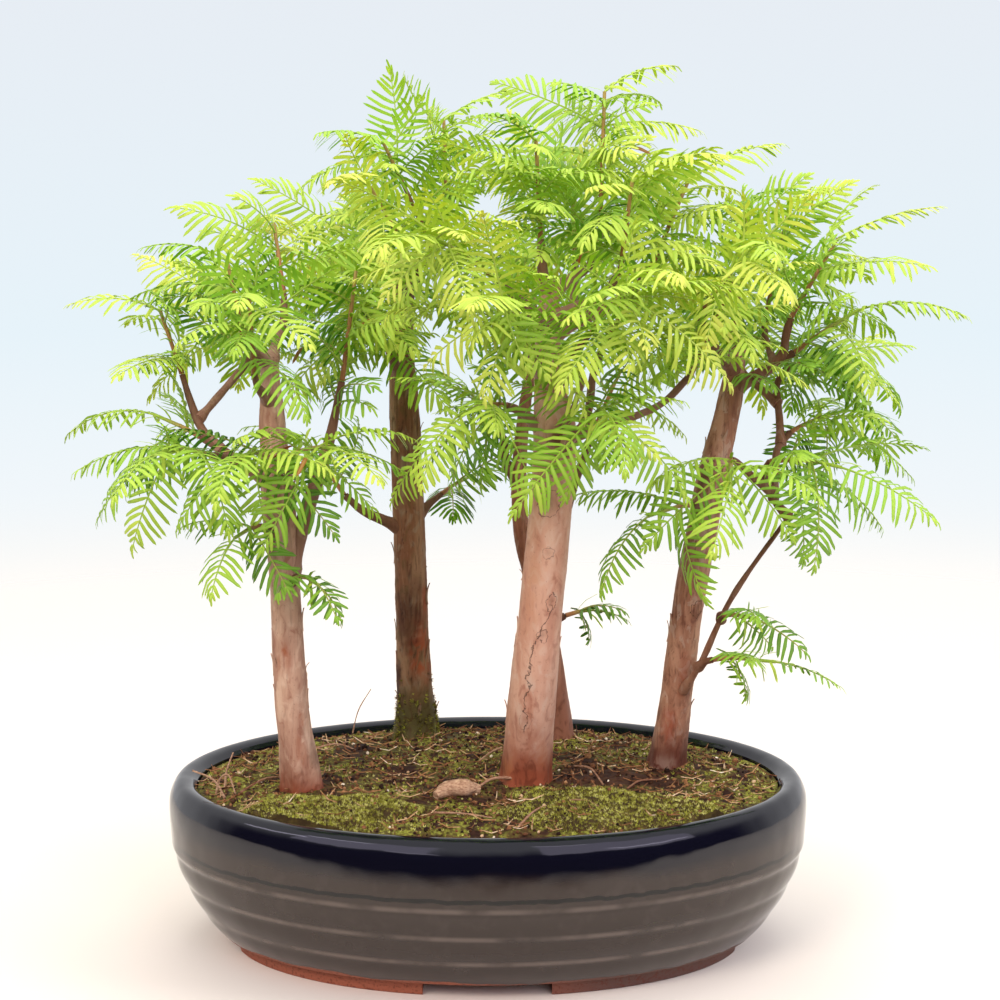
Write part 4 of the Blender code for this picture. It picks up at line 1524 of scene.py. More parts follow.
@dataclass(frozen=True)
class BarkLook:
    """The bark of one tree.

    Attributes:
        tree: the tree's name.
        dark: the colour in the furrows.
        base: its main colour.
        light: the colour of its raised streaks.
        pale: the colour of scuffed patches.
        warm: the colour where it has peeled to the inner bark.
        foot: the colour just above the soil.
        young: the colour of the thin limbs.
        furrow: the depth of its furrows.
        waves: the height of its swellings.
        grain: the distance between furrows.
        foot_top: the height above the ground where the foot's colour ends, in millimetres.
        flakes: how many strips of bark peel off.
        streaks: how strongly the fibres show, from 0 to 1.
        cracks: how much of the bark is cracked, from 0 to 1.
        sides: the corners of each ring of the trunk.
        gloss: the roughness of the bark.
        seam: a crack down the bark, as heights and turns.
        patches: its marks.
    """

    tree: str
    dark: str
    base: str
    light: str
    pale: str
    warm: str
    foot: str
    young: str
    furrow: float
    waves: float
    grain: float
    foot_top: float
    flakes: int
    streaks: float
    cracks: float = 1.0
    sides: int = 72
    gloss: float = 0.72
    seam: tuple = ()
    patches: tuple = ()

    def make(self) -> bpy.types.Material:
        """Make the bark material: fibrous, with streaks along the trunk and cracks between them."""
        made, tree, output = new_material(f"fibrous conifer bark, {self.tree} tree, peeling")
        # Fibres are about 1.1 mm wide and run sixteen times as far along the trunk.
        streak = cloud(tree, 1.1 * MM, 4.0, 16.0, 0.3)
        # Bands of about 6 mm, patches of about 13 mm and mottles of about 4 mm vary the bark softly.
        band = cloud(tree, 6 * MM, 2.0, 6.0)
        broad = cloud(tree, 13 * MM, 3.0, 1.6)
        mottle = cloud(tree, 4 * MM, 6.0, 2.0, 0.8)
        freckle = cloud(tree, 0.9 * MM, 2.0, 1.4)
        colour = layered(tree, self.base, self.light, masked(tree, band, 0.38, 0.66))
        colour = layered(tree, colour, self.dark, masked(tree, broad, 0.47, 0.25, 0.25 + 0.5 * self.streaks))
        colour = layered(tree, colour, self.pale, masked(tree, mottle, 0.52, 0.66, 0.5))
        colour = layered(tree, colour, self.foot, masked(tree, mottle, 0.46, 0.3, 0.45))
        colour = layered(tree, colour, self.light, masked(tree, streak, 0.54, 0.7, self.streaks))
        colour = layered(tree, colour, self.dark, masked(tree, streak, 0.46, 0.3, self.streaks))
        colour = layered(tree, colour, self.dark, masked(tree, freckle, 0.36, 0.26, 0.5))
        foot = attribute(tree, "foot")
        colour = layered(tree, colour, self.foot, foot)
        spots = add_node(tree, "Math",
                         {"operation": "MULTIPLY", 0: foot, 1: masked(tree, mottle, 0.48, 0.34, 0.5)})
        colour = layered(tree, colour, "#4A2016", spots.outputs[0])
        colour = layered(tree, colour, self.young, attribute(tree, "young"))
        for name, tint in (("warm", self.warm), ("pale", self.pale), ("dark", "#4A2A1C"),
                           ("crack", "#24120B")):
            # Each mark is broken up by the mottles and fibres that it lies on.
            rough = add_node(tree, "Math",
                             {"operation": "MULTIPLY", 0: attribute(tree, name),
                              1: masked(tree, mottle, 0.36, 0.56)})
            whole = name in ("crack", "dark")
            colour = layered(tree, colour, tint, attribute(tree, name) if whole else rough.outputs[0])
        jitter = cloud(tree, 2.6 * MM, 4.0)
        for name, half in (("seam", 0.52), ("ring", 0.34)):
            # Hairline cracks under half a millimetre wide wander from side to side.
            moved = add_node(tree, "Math", {"operation": "MULTIPLY_ADD", 1: 5.0, 2: -2.5, 0: jitter})
            off = add_node(tree, "Math", {"operation": "ADD", 0: attribute(tree, name), 1: moved})
            near = add_node(tree, "Math", {"operation": "ABSOLUTE", 0: off})
            line = add_node(tree, "Math",
                            {"operation": "MULTIPLY", 0: masked(tree, near.outputs[0], half, 0.1),
                             1: attribute(tree, name + "_on")})
            broken = add_node(tree, "Math",
                              {"operation": "MULTIPLY", 0: line, 1: masked(tree, freckle, 0.3, 0.48, 0.85)})
            colour = layered(tree, colour, "#3A1F16", broken.outputs[0])
        bump = add_node(tree, "Bump",
                        {"Strength": 0.3 + 0.6 * self.streaks, "Distance": 0.3 * MM, "Height": streak})
        fine = add_node(tree, "Bump",
                        {"Strength": 0.6, "Distance": 0.25 * MM, "Height": mottle, "Normal": bump})
        rough = add_node(tree, "MapRange", {3: self.gloss, 4: self.gloss - 0.25, 0: foot})
        shader = add_node(tree, "BsdfPrincipled",
                          {"IOR": 1.45, "Metallic": 0.0, "Base Color": colour, "Normal": fine,
                           "Roughness": rough})
        tree.links.new(shader.outputs[0], output.inputs["Surface"])
        return made


SMOOTH = BarkLook(
    "centre", "#96624E", "#C08C72", "#CEA187", "#CFAF98", "#B87C52", "#8A4832", "#7A5644",
    furrow=0.16 * MM, waves=0.35 * MM, grain=6 * MM, foot_top=104, flakes=5, streaks=0.1, cracks=0.0,
    gloss=0.6,
    seam=((160, 26), (155, 22), (150, 6), (146, 0), (142, -13), (136, -19), (131, -14), (127, -21),
          (124, -10), (118, -19), (112, -18), (108, -10), (102, -19)),
    patches=(
        Patch(Mark.KNOT, 203, -10, 6, 31, 0.75), Patch(Mark.KNOT, 182, 2, 2.3, 14, 0.55),
        Patch(Mark.KNOT, 161, 24, 3.6, 13, 0.9), Patch(Mark.KNOT, 146, 9, 2.8, 14, 0.8),
        Patch(Mark.KNOT, 142, -84, 2.5, 14, 0.8), Patch(Mark.PALE, 125, -12, 4, 12, 0.8),
        Patch(Mark.PALE, 133, -24, 8, 10, 0.4), Patch(Mark.PALE, 110, -30, 7, 14, 0.5),
        Patch(Mark.PALE, 112, 2, 6, 12, 0.35), Patch(Mark.WARM, 214, -46, 14, 26, 0.6),
        Patch(Mark.WARM, 168, -30, 16, 20, 0.35), Patch(Mark.WARM, 84, -50, 7, 22, 0.3),
        Patch(Mark.WARM, 92, 40, 8, 18, 0.2), Patch(Mark.DARK, 229, 20, 7, 36, 0.75),
        Patch(Mark.KNOT, 108, -14, 4, 16, 0.35), Patch(Mark.PALE, 190, 20, 20, 14, 0.35),
    ),
)
PEELING = BarkLook(
    "left", "#76503F", "#A67C66", "#C09A80", "#D0B096", "#98502E", "#7E3820", "#6E4A38",
    furrow=0.3 * MM, waves=0.35 * MM, grain=5 * MM, foot_top=92, flakes=22, streaks=0.32, cracks=0.35,
    gloss=0.72,
    patches=(
        Patch(Mark.WARM, 139, -8, 3, 12, 0.8), Patch(Mark.WARM, 133, 4, 5, 12, 0.45),
        Patch(Mark.WARM, 131, -34, 4, 8, 0.35), Patch(Mark.PALE, 125, -14, 3, 16, 0.9),
        Patch(Mark.PALE, 114, -44, 8, 12, 0.7), Patch(Mark.WARM, 107, 34, 4, 10, 0.6),
        Patch(Mark.PALE, 98, 48, 6, 10, 0.8), Patch(Mark.DARK, 186, -70, 9, 26, 0.6),
        Patch(Mark.WARM, 95, 20, 8, 20, 0.4), Patch(Mark.DARK, 90, 62, 7, 22, 0.5),
        Patch(Mark.PALE, 160, 10, 16, 14, 0.3),
    ),
)
RUSTY = BarkLook(
    "back_left", "#3A241A", "#84583C", "#A27C5A", "#9A866A", "#A8532E", "#5C5430", "#6A4A38",
    furrow=0.7 * MM, waves=0.5 * MM, grain=4 * MM, foot_top=108, flakes=20, streaks=0.45, cracks=0.7,
    gloss=0.85,
    patches=(
        Patch(Mark.WARM, 118, 34, 13, 36, 0.8), Patch(Mark.DARK, 132, -10, 12, 44, 0.6),
        Patch(Mark.DARK, 148, 20, 8, 24, 0.4), Patch(Mark.DARK, 106, -66, 6, 20, 1.0),
        Patch(Mark.DARK, 97, -76, 4, 18, 1.0), Patch(Mark.WARM, 140, 60, 8, 14, 0.6),
        Patch(Mark.PALE, 196, -10, 22, 24, 0.25),
    ),
)
SLIM = BarkLook(
    "back_centre", "#472A20", "#82523C", "#A0725A", "#A88470", "#965838", "#8E5E4A", "#5C3E2E",
    furrow=0.2 * MM, waves=0.2 * MM, grain=2.6 * MM, foot_top=112, flakes=4, streaks=0.35, cracks=0.3,
    sides=40, gloss=0.78,
)
STREAKED = BarkLook(
    "right", "#5A3226", "#98674F", "#B6886C", "#BCA28E", "#984C34", "#5E3428", "#68432F",
    furrow=0.35 * MM, waves=0.35 * MM, grain=4 * MM, foot_top=100, flakes=10, streaks=0.5, cracks=0.45,
    gloss=0.72,
    patches=(
        Patch(Mark.KNOT, 150, 29, 3.5, 24, 0.9), Patch(Mark.PALE, 77, -16, 5, 34, 0.3),
        Patch(Mark.PALE, 180, 10, 20, 14, 0.4), Patch(Mark.WARM, 118, 10, 12, 22, 0.5),
        Patch(Mark.WARM, 96, -20, 8, 24, 0.6), Patch(Mark.DARK, 206, -40, 6, 24, 0.6),
    ),
)
BARKS = {look.tree: look for look in (SMOOTH, PEELING, RUSTY, SLIM, STREAKED)}


@dataclass
class Wood:
    """The fine trunk and limbs of one tree."""

    tree: Tree
    look: BarkLook
    limbs: list
    draw: random.Random
    shape: Shape = field(default_factory=Shape)

    def bark(self, line: list, radii: list, sides: int, rough: float, young: list) -> None:
        """Add a closed tube of bark, furrowed and marked.

        Args:
            line: its middle line.
            radii: its radius at each point.
            sides: the corners of each ring.
            rough: how strongly the furrows show, as a share.
            young: how young the wood is at each point, from 0 to 1.
        """
        look = self.look
        points = []
        names = ("crack", "pale", "dark", "warm", "foot", "young", "seam", "seam_on", "ring", "ring_on")
        values = {name: [] for name in names}
        shift = Vector((self.draw.uniform(0, 9), 3.3, 1.7))
        for place, radius, (along, side), age in zip(line, radii, frames(line), young):
            other = along.cross(side)
            for i in range(sides):
                a = math.tau * i / sides
                out = side * math.cos(a) + other * math.sin(a)
                spot = place + out * radius
                fibres = noise.noise(Vector((spot.x, spot.y, spot.z * 0.13)) / look.grain + shift)
                second = noise.noise(Vector((spot.x, spot.y, spot.z * 0.3)) / (look.grain * 0.55) - shift)
                crack = max(0, 1 - abs(fibres) / 0.06) * ease(-0.25, 0.1, second) * look.cracks
                lift = look.waves * noise.noise(Vector((spot.x, spot.y, spot.z * 0.5)) / (8 * MM) + shift)
                lift -= look.furrow * crack * rough + look.furrow * 0.5 * abs(second) * rough
                lift += 0.1 * MM * noise.noise(spot / (1.5 * MM)) * rough
                turn = math.degrees(math.atan2(out.x, -out.y))
                marks = {Mark.PALE: 0.0, Mark.DARK: 0.0, Mark.WARM: 0.0}
                high = spot.z / MM
                ragged = 0.5 * noise.noise(spot / (4 * MM)) + 0.3 * noise.noise(spot / (1.4 * MM))
                ring = (5.0, 0.0)
                for patch in look.patches if rough == 1 else ():
                    far = patch.reach(high, turn)
                    if far > 3:
                        continue
                    if patch.kind is Mark.KNOT:
                        lift += 0.55 * MM * patch.strength * (0.75 * math.exp(-((far - 1) / 0.4) ** 2)
                                                              - 0.7 * math.exp(-(far / 0.5) ** 2))
                        marks[Mark.DARK] = max(marks[Mark.DARK],
                                               0.4 * patch.strength * math.exp(-(far / 0.6) ** 2))
                        edge = (far - 1) * patch.high
                        if abs(edge) < abs(ring[0]):
                            ring = (edge, patch.strength * ease(4.5, 3, abs(edge)))
                    else:
                        shown = patch.strength * ease(1.5, 0.4, far + ragged)
                        marks[patch.kind] = max(marks[patch.kind], shown)
                seam = 0.0
                seam_on = 0.0
                if rough == 1 and look.seam and look.seam[-1][0] < high < look.seam[0][0]:
                    middle = float(np.interp(high, [z for z, _ in look.seam[::-1]],
                                             [t for _, t in look.seam[::-1]]))
                    seam = math.radians(turn - middle) * radius / MM
                    seam_on = ease(6, 4, abs(seam))
                foot = ease(look.foot_top, look.foot_top - 22, high + 6 * ragged) if rough == 1 else 0
                flare = 0.0
                if rough == 1:
                    flare = ease(98, 72, high) * (0.04 + 0.08 * math.sin(5 * a + shift.x)) * radius
                points.append(tuple(place + out * (radius + lift + flare)))
                found = {"crack": crack * rough * 0.85, "foot": foot, "young": age, "seam": seam,
                         "seam_on": seam_on, "ring": ring[0], "ring_on": ring[1]}
                for kind, strong in marks.items():
                    found[kind.value] = strong
                for name, value in found.items():
                    values[name].append(value)
        faces = [ring_faces(len(line), sides), *ring_caps(len(points), sides)]
        self.shape.add(np.array(points), faces, 0, **values)

    def add_trunk(self) -> None:
        """Add the trunk."""
        line, radii = smooth_line(*self.tree.line(), 1.25 * MM)
        self.bark(line, radii, self.look.sides, 1, [0.0] * len(line))

    def add_limb(self, limb: Limb) -> None:
        """Add one limb, with a swollen collar where it leaves the older wood.

        Args:
            limb: its coarse line.
        """
        line, radii = smooth_line(limb.points, limb.radii, 2.2 * MM)
        gone = 0.0
        thick = []
        age = []
        for i, radius in enumerate(radii):
            out = max(0.0, gone - limb.buried) / (3.2 * MM)
            joint = 0.1 * noise.noise(line[i] / (6 * MM))
            thick.append(radius * (1 + 0.5 * math.exp(-out) + joint))
            age.append(0.45 + 0.55 * i / len(radii) if not limb.dead else 0.6)
            if i + 1 < len(line):
                gone += (line[i + 1] - line[i]).length
        self.bark(line, thick, 12, 0.25, age)

    def add_flakes(self) -> None:
        """Add thin curved strips of bark that peel off the trunk."""
        line, radii = smooth_line(*self.tree.line(), 2 * MM)
        turns = frames(line)
        usable = [i for i, place in enumerate(line) if 80 * MM < place.z < 225 * MM]
        for _ in range(self.look.flakes):
            index = self.draw.choice(usable)
            turn = self.draw.uniform(0, math.tau)
            if self.draw.random() < 0.6:
                turn = self.draw.choice((0.0, math.pi)) + self.draw.gauss(0, 0.35)
            along, _ = turns[index]
            out = Vector((math.cos(turn), math.sin(turn), 0))
            out = (out - along * out.dot(along)).normalized()
            side = along.cross(out)
            length = self.draw.uniform(4, 12) * MM
            width = self.draw.uniform(1.2, 2.6) * MM
            lift = self.draw.uniform(0.2, 1.1) * MM
            steps = 7
            points = []
            for step in range(steps):
                share = step / (steps - 1)
                place = line[index] + along * (length * (share - 0.5)) + out * (radii[index] - 0.1 * MM)
                raised = lift * abs(2 * share - 0.7) ** 2
                half = width / 2 * (0.35 + 0.65 * math.sin(math.pi * min(1, share + 0.12)))
                sway = 0.5 * MM * math.sin(3 * share + turn)
                for across, up in ((-1, 0.0), (1, 0.0), (0.8, 0.3), (-0.8, 0.3)):
                    points.append(place + out * (raised + up * MM - 0.25 * MM * abs(across))
                                  + side * (half * across + sway))
            faces = [ring_faces(steps, 4), *ring_caps(4 * steps, 4)]
            self.shape.add(np.array([tuple(p) for p in points]), faces, 0,
                           pale=self.draw.choice((0.0, 0.35, 0.6)), warm=self.draw.choice((0, 0, 0.5)))

    def build(self, middle: Vector) -> bpy.types.Object:
        """Build and register the tree's wood.

        Args:
            middle: the pot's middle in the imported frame.

        Returns:
            The piece.
        """
        self.add_trunk()
        for limb in self.limbs:
            self.add_limb(limb)
        self.add_flakes()
        name = f"tree_{self.tree.name}"
        piece = self.shape.build(name + "_fine", [self.look.make()], middle, 60)
        return register(piece, Slot.BARK, name)


# The pot's measures, as in the part's source.
POT_HALF_LENGTH = 141 * MM
POT_HALF_WIDTH = 103 * MM
POT_HEIGHT = 75 * MM
FLOOR_TOP = 12 * MM
FOOT_HEIGHT = 6.5 * MM
FOOT_IN = 28 * MM
FOOT_THICK = 13 * MM
FOOT_TAPER = 1.5 * MM
UNDER_FLOOR = 6 * MM
GLAZE_END = (21.5 * MM, 7.5 * MM)
RIDGE_HEIGHTS = (46 * MM, 33 * MM, 20 * MM)
RIDGE_INSETS = (1.2 * MM, 5.4 * MM, 12.2 * MM)
RIDGE_STEP = (1.5 * MM, 2.2 * MM)
RIM = (
    (0.3 * MM, 64 * MM), (1.8 * MM, 71 * MM), (5 * MM, POT_HEIGHT), (9.5 * MM, POT_HEIGHT - 0.4 * MM),
)
INNER_WALL = ((12.5 * MM, 72 * MM), (13.5 * MM, 46 * MM), (26 * MM, 17 * MM), (34 * MM, FLOOR_TOP))
NOTCH_HEIGHT = 5.5 * MM
FRONT_NOTCH_WIDTH = 54 * MM
SIDE_NOTCH_WIDTH = 44 * MM
DRAIN_DIAMETER = 14 * MM
DRAIN_OUT = 55 * MM
SOIL_EDGE = 69.5 * MM
SOIL_RISE = 7 * MM
SOIL_CLEAR = 0.5 * MM
SOIL_BASE_INSET = 32.5 * MM
SOIL_BOTTOM = FLOOR_TOP + 2 * GAP + 1 * MM


def oval(inset: float, height: float, sides: int) -> np.ndarray:
    """A ring of the pot's plan, stepped in from its widest outline.

    Args:
        inset: how far it is stepped in.
        height: its height.
        sides: how many corners it has.

    Returns:
        Rows of x, y, z.
    """
    turn = math.tau * np.arange(sides) / sides
    return np.stack([(POT_HALF_LENGTH - inset) * np.cos(turn), (POT_HALF_WIDTH - inset) * np.sin(turn),
                     np.full(sides, height)], 1)


def rounded(profile: list, reach: float) -> list:
    """A section with its corners rounded.

    Args:
        profile: pairs of inset and height.
        reach: how far from each corner its curve starts.

    Returns:
        The new pairs.
    """
    found = [profile[0]]
    for before, corner, after in zip(profile, profile[1:], profile[2:]):
        corner = np.array(corner)
        ends = []
        for other in (before, after):
            way = np.array(other) - corner
            length = np.linalg.norm(way)
            ends.append(corner + way * min(0.4, reach / length))
        for i in range(5):
            t = i / 4
            found.append(tuple(ends[0] * (1 - t) ** 2 + corner * (2 * t * (1 - t)) + ends[1] * t * t))
    return found + [profile[-1]]


def softened(profile: list, reach: float) -> list:
    """A section rounded all along, as by a thick glaze.

    Args:
        profile: pairs of inset and height.
        reach: how far each place is blended with its neighbours.

    Returns:
        The new pairs, with even steps.
    """
    step = 0.45 * MM
    points = np.array(profile)
    along = np.concatenate([[0], np.cumsum(np.linalg.norm(np.diff(points, axis=0), axis=1))])
    even = np.linspace(0, along[-1], max(2, round(along[-1] / step)))
    dense = np.stack([np.interp(even, along, points[:, i]) for i in range(2)], 1)
    weight = np.exp(-0.5 * ((even[:, None] - even[None, :]) / reach) ** 2)
    # Near its ends the section keeps its place.
    free = np.clip(np.minimum(even, even[-1] - even) / (3 * reach), 0, 1)[:, None]
    smooth = weight @ dense / weight.sum(1, keepdims=True)
    mixed = dense * (1 - free) + smooth * free
    return [tuple(row) for row in mixed[::2]] + ([tuple(mixed[-1])] if len(mixed) % 2 == 0 else [])


@dataclass(frozen=True)
class GlazeFinish:
    """Stoneware with a thick dark glaze, thinner and paler on every edge, with painted highlights along its
    ridges and a painted floor reflection on its lower wall, and a bare foot.

    Attributes:
        upper: the deep blue of the band under the rim.
        lower: the brown grey of the wall below it: the glaze's own brownish black, lightened by a painted
            reflection of the pale floor.
        edge: the pale colour where the glaze runs thin over an edge, also a painted highlight along each
            ridge.
        clay: the fired clay of the foot.
        gloss: the roughness of the glaze, which keeps its reflections sharp.
        ior: the refractive index of a lead-free glaze.
    """

    upper: str = "#0A0A15"
    lower: str = "#2E241E"
    edge: str = "#7C6E64"
    clay: str = "#90523C"
    gloss: float = 0.07
    ior: float = 1.52

    def make(self) -> bpy.types.Material:
        """Make the glaze material."""
        made, tree, output = new_material("reduction-fired glaze on stoneware, dipped")
        place = add_node(tree, "TexCoord").outputs["Object"]
        parts = add_node(tree, "SeparateXYZ", {0: place}).outputs
        height = parts["Z"]
        # The glaze's run wanders by a millimetre or two over patches of about 22 mm.
        wander = cloud(tree, 22 * MM, 3.0)
        run = add_node(tree, "Math", {"operation": "MULTIPLY_ADD", 1: 6 * MM, 0: wander, 2: height})
        level = run.outputs[0]
        mottle = cloud(tree, 7 * MM, 5.0, 1.0, 0.4)
        lower = layered(tree, self.lower, "#3A302B", masked(tree, mottle, 0.45, 0.75, 0.5))
        # A ragged dark line a few millimetres above the first ridge.
        ragged = add_node(tree, "Math", {"operation": "MULTIPLY_ADD", 1: 2.5 * MM, 0: mottle, 2: height})
        gather = add_node(tree, "Math",
                          {"operation": "MULTIPLY", 0: masked(tree, ragged.outputs[0], 50.2 * MM, 50.9 * MM),
                           1: masked(tree, ragged.outputs[0], 52.6 * MM, 52 * MM)})
        # Below about 60 mm the glaze turns from deep blue to brown grey: partly its own brownish black,
        # partly a painted reflection of the pale floor.
        colour = layered(tree, lower, self.upper, masked(tree, level, 58 * MM, 66 * MM))
        colour = layered(tree, colour, "#030202", gather.outputs[0])
        # Pale lines along each ridge: partly thinner glaze over the edge, partly painted highlights where the
        # ridges catch the light.
        edges = None
        for ridge in RIDGE_HEIGHTS:
            band = add_node(tree, "Math", {"operation": "SUBTRACT", 1: ridge - 0.25 * MM, 0: height})
            off = add_node(tree, "Math", {"operation": "ABSOLUTE", 0: band})
            line = masked(tree, off.outputs[0], 1.9 * MM, 0.2 * MM, 0.45)
            if edges is None:
                edges = line
            else:
                edges = add_node(tree, "Math", {"operation": "MAXIMUM", 0: edges, 1: line}).outputs[0]
        thin_glaze_and_highlight = add_node(tree, "Math", {"operation": "MULTIPLY", 0: edges, 1: masked(tree, wander, 0.3, 0.6)})
        colour = layered(tree, colour, self.edge, thin_glaze_and_highlight.outputs[0])
        bare = masked(tree, level, 12.2 * MM, 11.2 * MM)
        colour = layered(tree, colour, "#1C1512", masked(tree, level, 14 * MM, 12.4 * MM, 0.8))
        grog = cloud(tree, 1.2 * MM, 4.0)
        # The foot is grey brown rather than red towards its right.
        clay = layered(tree, self.clay, "#54403A", masked(tree, parts["X"], -20 * MM, 50 * MM, 0.9))
        clay = layered(tree, clay, "#5E2C1B", masked(tree, grog, 0.5, 0.34, 0.7))
        mixed = add_node(tree, "Mix", {"data_type": "RGBA", 0: bare, 6: colour, 7: clay})
        rough = add_node(tree, "MapRange", {3: self.gloss, 4: 0.85, 0: bare})
        # The glaze is faintly uneven over patches of about 18 and 6 mm, like orange peel.
        waves = add_node(tree, "Bump",
                         {"Strength": 0.7, "Distance": 0.8 * MM, "Height": cloud(tree, 18 * MM, 1.0)})
        peel = add_node(tree, "Bump",
                        {"Strength": 0.25, "Distance": 0.12 * MM, "Height": cloud(tree, 6 * MM, 2.0),
                         "Normal": waves})
        grain = add_node(tree, "Math", {"operation": "MULTIPLY", 0: grog, 1: bare})
        clay_bump = add_node(tree, "Bump",
                             {"Strength": 0.6, "Distance": 0.3 * MM, "Height": grain, "Normal": peel})
        shader = add_node(tree, "BsdfPrincipled",
                          {"IOR": self.ior, "Metallic": 0.0, "Base Color": mixed.outputs[2],
                           "Roughness": rough, "Normal": clay_bump})
        tree.links.new(shader.outputs[0], output.inputs["Surface"])
        return made


@dataclass(frozen=True)
class Pot:
    """The oval pot with its rolled lip, stepped ridges and notched foot.

    Attributes:
        sides: the corners of each ring.
        corner: how far the ridges' corners are rounded.
        belly: how far the wall bulges between two ridges.
        soft: how far the thick glaze rounds the wall's section.
    """

    sides: int = 256
    corner: float = 0.7 * MM
    belly: float = 0.75 * MM
    soft: float = 0.8 * MM
    finish: GlazeFinish = GlazeFinish()

    def profile(self) -> list:
        """The smooth section, from the underside round the foot and up the wall to the floor inside."""
        step_in, step_down = RIDGE_STEP
        foot = [
            (FOOT_IN + FOOT_THICK, UNDER_FLOOR), (FOOT_IN + FOOT_THICK, 0),
            (FOOT_IN, 0), (FOOT_IN - FOOT_TAPER, FOOT_HEIGHT), GLAZE_END,
        ]
        for inset, height in sorted(zip(RIDGE_INSETS, RIDGE_HEIGHTS), reverse=True):
            low = foot[-1]
            top = (inset + step_in, height - step_down)
            for i in range(1, 6):
                share = i / 6
                out = self.belly * math.sin(math.pi * share)
                foot.append((low[0] + (top[0] - low[0]) * share - out, low[1] + (top[1] - low[1]) * share))
            foot += [top, (inset, height)]
        outer = rounded(foot[:5], self.corner)
        band = [foot[-1], *RIM, INNER_WALL[0]]
        curve, _ = smooth_line([Vector((x, 0, z)) for x, z in band], [0] * len(band), 1 * MM)
        wall = softened(foot[4:-1] + [(p.x, p.z) for p in curve[:-4]], self.soft)
        outer = outer[:-1] + wall
        curve = curve[-4:]
        inside, _ = smooth_line([Vector((x, 0, z)) for x, z in INNER_WALL], [0] * len(INNER_WALL), 6 * MM)
        return outer + [(p.x, p.z) for p in curve] + [(p.x, p.z) for p in inside[1:]]

    def cutter(self, name: str, points: np.ndarray, sides: int, middle: Vector) -> bpy.types.Object:
        """A closed prism that is cut out of the pot.

        Args:
            name: its name.
            points: its lower and upper ring.
            sides: the corners of each ring.
            middle: the pot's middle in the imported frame.

        Returns:
            The object.
        """
        shape = Shape()
        shape.add(points, [ring_faces(2, sides), *ring_caps(2 * sides, sides)])
        return shape.build(name, [], middle)

    def build(self, middle: Vector) -> bpy.types.Object:
        """Build and register the pot.

        Args:
            middle: the pot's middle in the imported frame.

        Returns:
            The piece.
        """
        shape = Shape()
        section = self.profile()
        rings = np.concatenate([oval(inset, height, self.sides) for inset, height in section])
        shape.add(rings, [ring_faces(len(section), self.sides), *ring_caps(len(rings), self.sides)])
        pot = shape.build("pot_fine", [self.finish.make()], middle, 32)
        cutters = []
        boxes = ((FRONT_NOTCH_WIDTH, 3 * POT_HALF_WIDTH), (3 * POT_HALF_LENGTH, SIDE_NOTCH_WIDTH))
        for across, deep in boxes:
            plan = [(-across, -deep), (across, -deep), (across, deep), (-across, deep)]
            points = [(x / 2, y / 2, z) for z in (-NOTCH_HEIGHT, NOTCH_HEIGHT) for x, y in plan]
            cutters.append(self.cutter("notch", np.array(points), 4, middle))
        turns = math.tau * np.arange(48) / 48
        for side in (-1, 1):
            plan = np.stack([side * DRAIN_OUT + DRAIN_DIAMETER / 2 * np.cos(turns),
                             DRAIN_DIAMETER / 2 * np.sin(turns)], 1)
            points = np.concatenate([np.column_stack([plan, np.full(48, z)]) for z in (0, 2 * FLOOR_TOP)])
            cutters.append(self.cutter("drain", points, 48, middle))
        for other in cutters:
            modifier = pot.modifiers.new(other.name, "BOOLEAN")
            modifier.operation = "DIFFERENCE"
            modifier.solver = "EXACT"
            modifier.object = other
        cut = bpy.data.meshes.new_from_object(pot.evaluated_get(bpy.context.evaluated_depsgraph_get()))
        pot.modifiers.clear()
        pot.data = cut
        cut.set_sharp_from_angle(angle=math.radians(32))
        for other in cutters:
            bpy.data.objects.remove(other, do_unlink=True)
        return register(pot, Slot.GLAZE, "pot")


def soil_height(x: float, y: float) -> float:
    """The soil's mean surface: level at the pot's wall and mounded in the middle."""
    out = (x / POT_HALF_LENGTH) ** 2 + (y / POT_HALF_WIDTH) ** 2
    return SOIL_EDGE + SOIL_RISE * max(0, 1 - out)


def soil_bump(x: float, y: float) -> float:
    """How far the soil's surface stands above its mean at a place."""
    place = Vector((x, y, 0))
    high = 1.6 * MM * noise.noise(place / (17 * MM)) + 0.8 * MM * noise.noise(place / (6 * MM))
    return high + 0.45 * MM * noise.noise(place / (2.2 * MM)) + 0.5 * MM


def on_soil(x: float, y: float, high: float) -> Vector:
    """A place at some height above the soil's mean surface, given in millimetres."""
    return Vector((x * MM, y * MM, soil_height(x * MM, y * MM) + high * MM))


def wall_share(x: float, y: float) -> float:
    """How far out towards the pot's inner wall a place is, 1 at the wall."""
    inset = INNER_WALL[0][0]
    return math.hypot(x / (POT_HALF_LENGTH - inset), y / (POT_HALF_WIDTH - inset))


@dataclass
class Scatter:
    """Many small copies of one form in one mesh."""

    points: np.ndarray
    faces: list
    shape: Shape = field(default_factory=Shape)
    rows: list = field(default_factory=list)

    def put(self, place: Vector, turn: Matrix, size: tuple, **values: float) -> None:
        """Set down one copy."""
        self.rows.append((place, turn @ Matrix.Diagonal(Vector(size)), values))

    def finish(self) -> None:
        """Add all copies to the shape."""
        if not self.rows:
            return
        turns = np.array([[tuple(row) for row in turn] for _, turn, _ in self.rows])
        places = np.array([tuple(place) for place, _, _ in self.rows])
        points = np.einsum("nij,pj->npi", turns, self.points) + places[:, None, :]
        first = (np.arange(len(self.rows)) * len(self.points))[:, None, None]
        faces = [(np.array(block)[None] + first).reshape(-1, np.shape(block)[1]) for block in self.faces]
        values = {}
        for name in self.rows[0][2]:
            values[name] = np.repeat([row[2][name] for row in self.rows], len(self.points))
        self.shape.add(points, faces, **values)


def spin(draw: random.Random, tilt: float) -> Matrix:
    """A random turn about the vertical, after a tilt of up to some radians."""
    across, deep = draw.uniform(-tilt, tilt), draw.uniform(-tilt, tilt)
    lean = Matrix.Rotation(across, 3, "X") @ Matrix.Rotation(deep, 3, "Y")
    return Matrix.Rotation(draw.uniform(0, math.tau), 3, "Z") @ lean


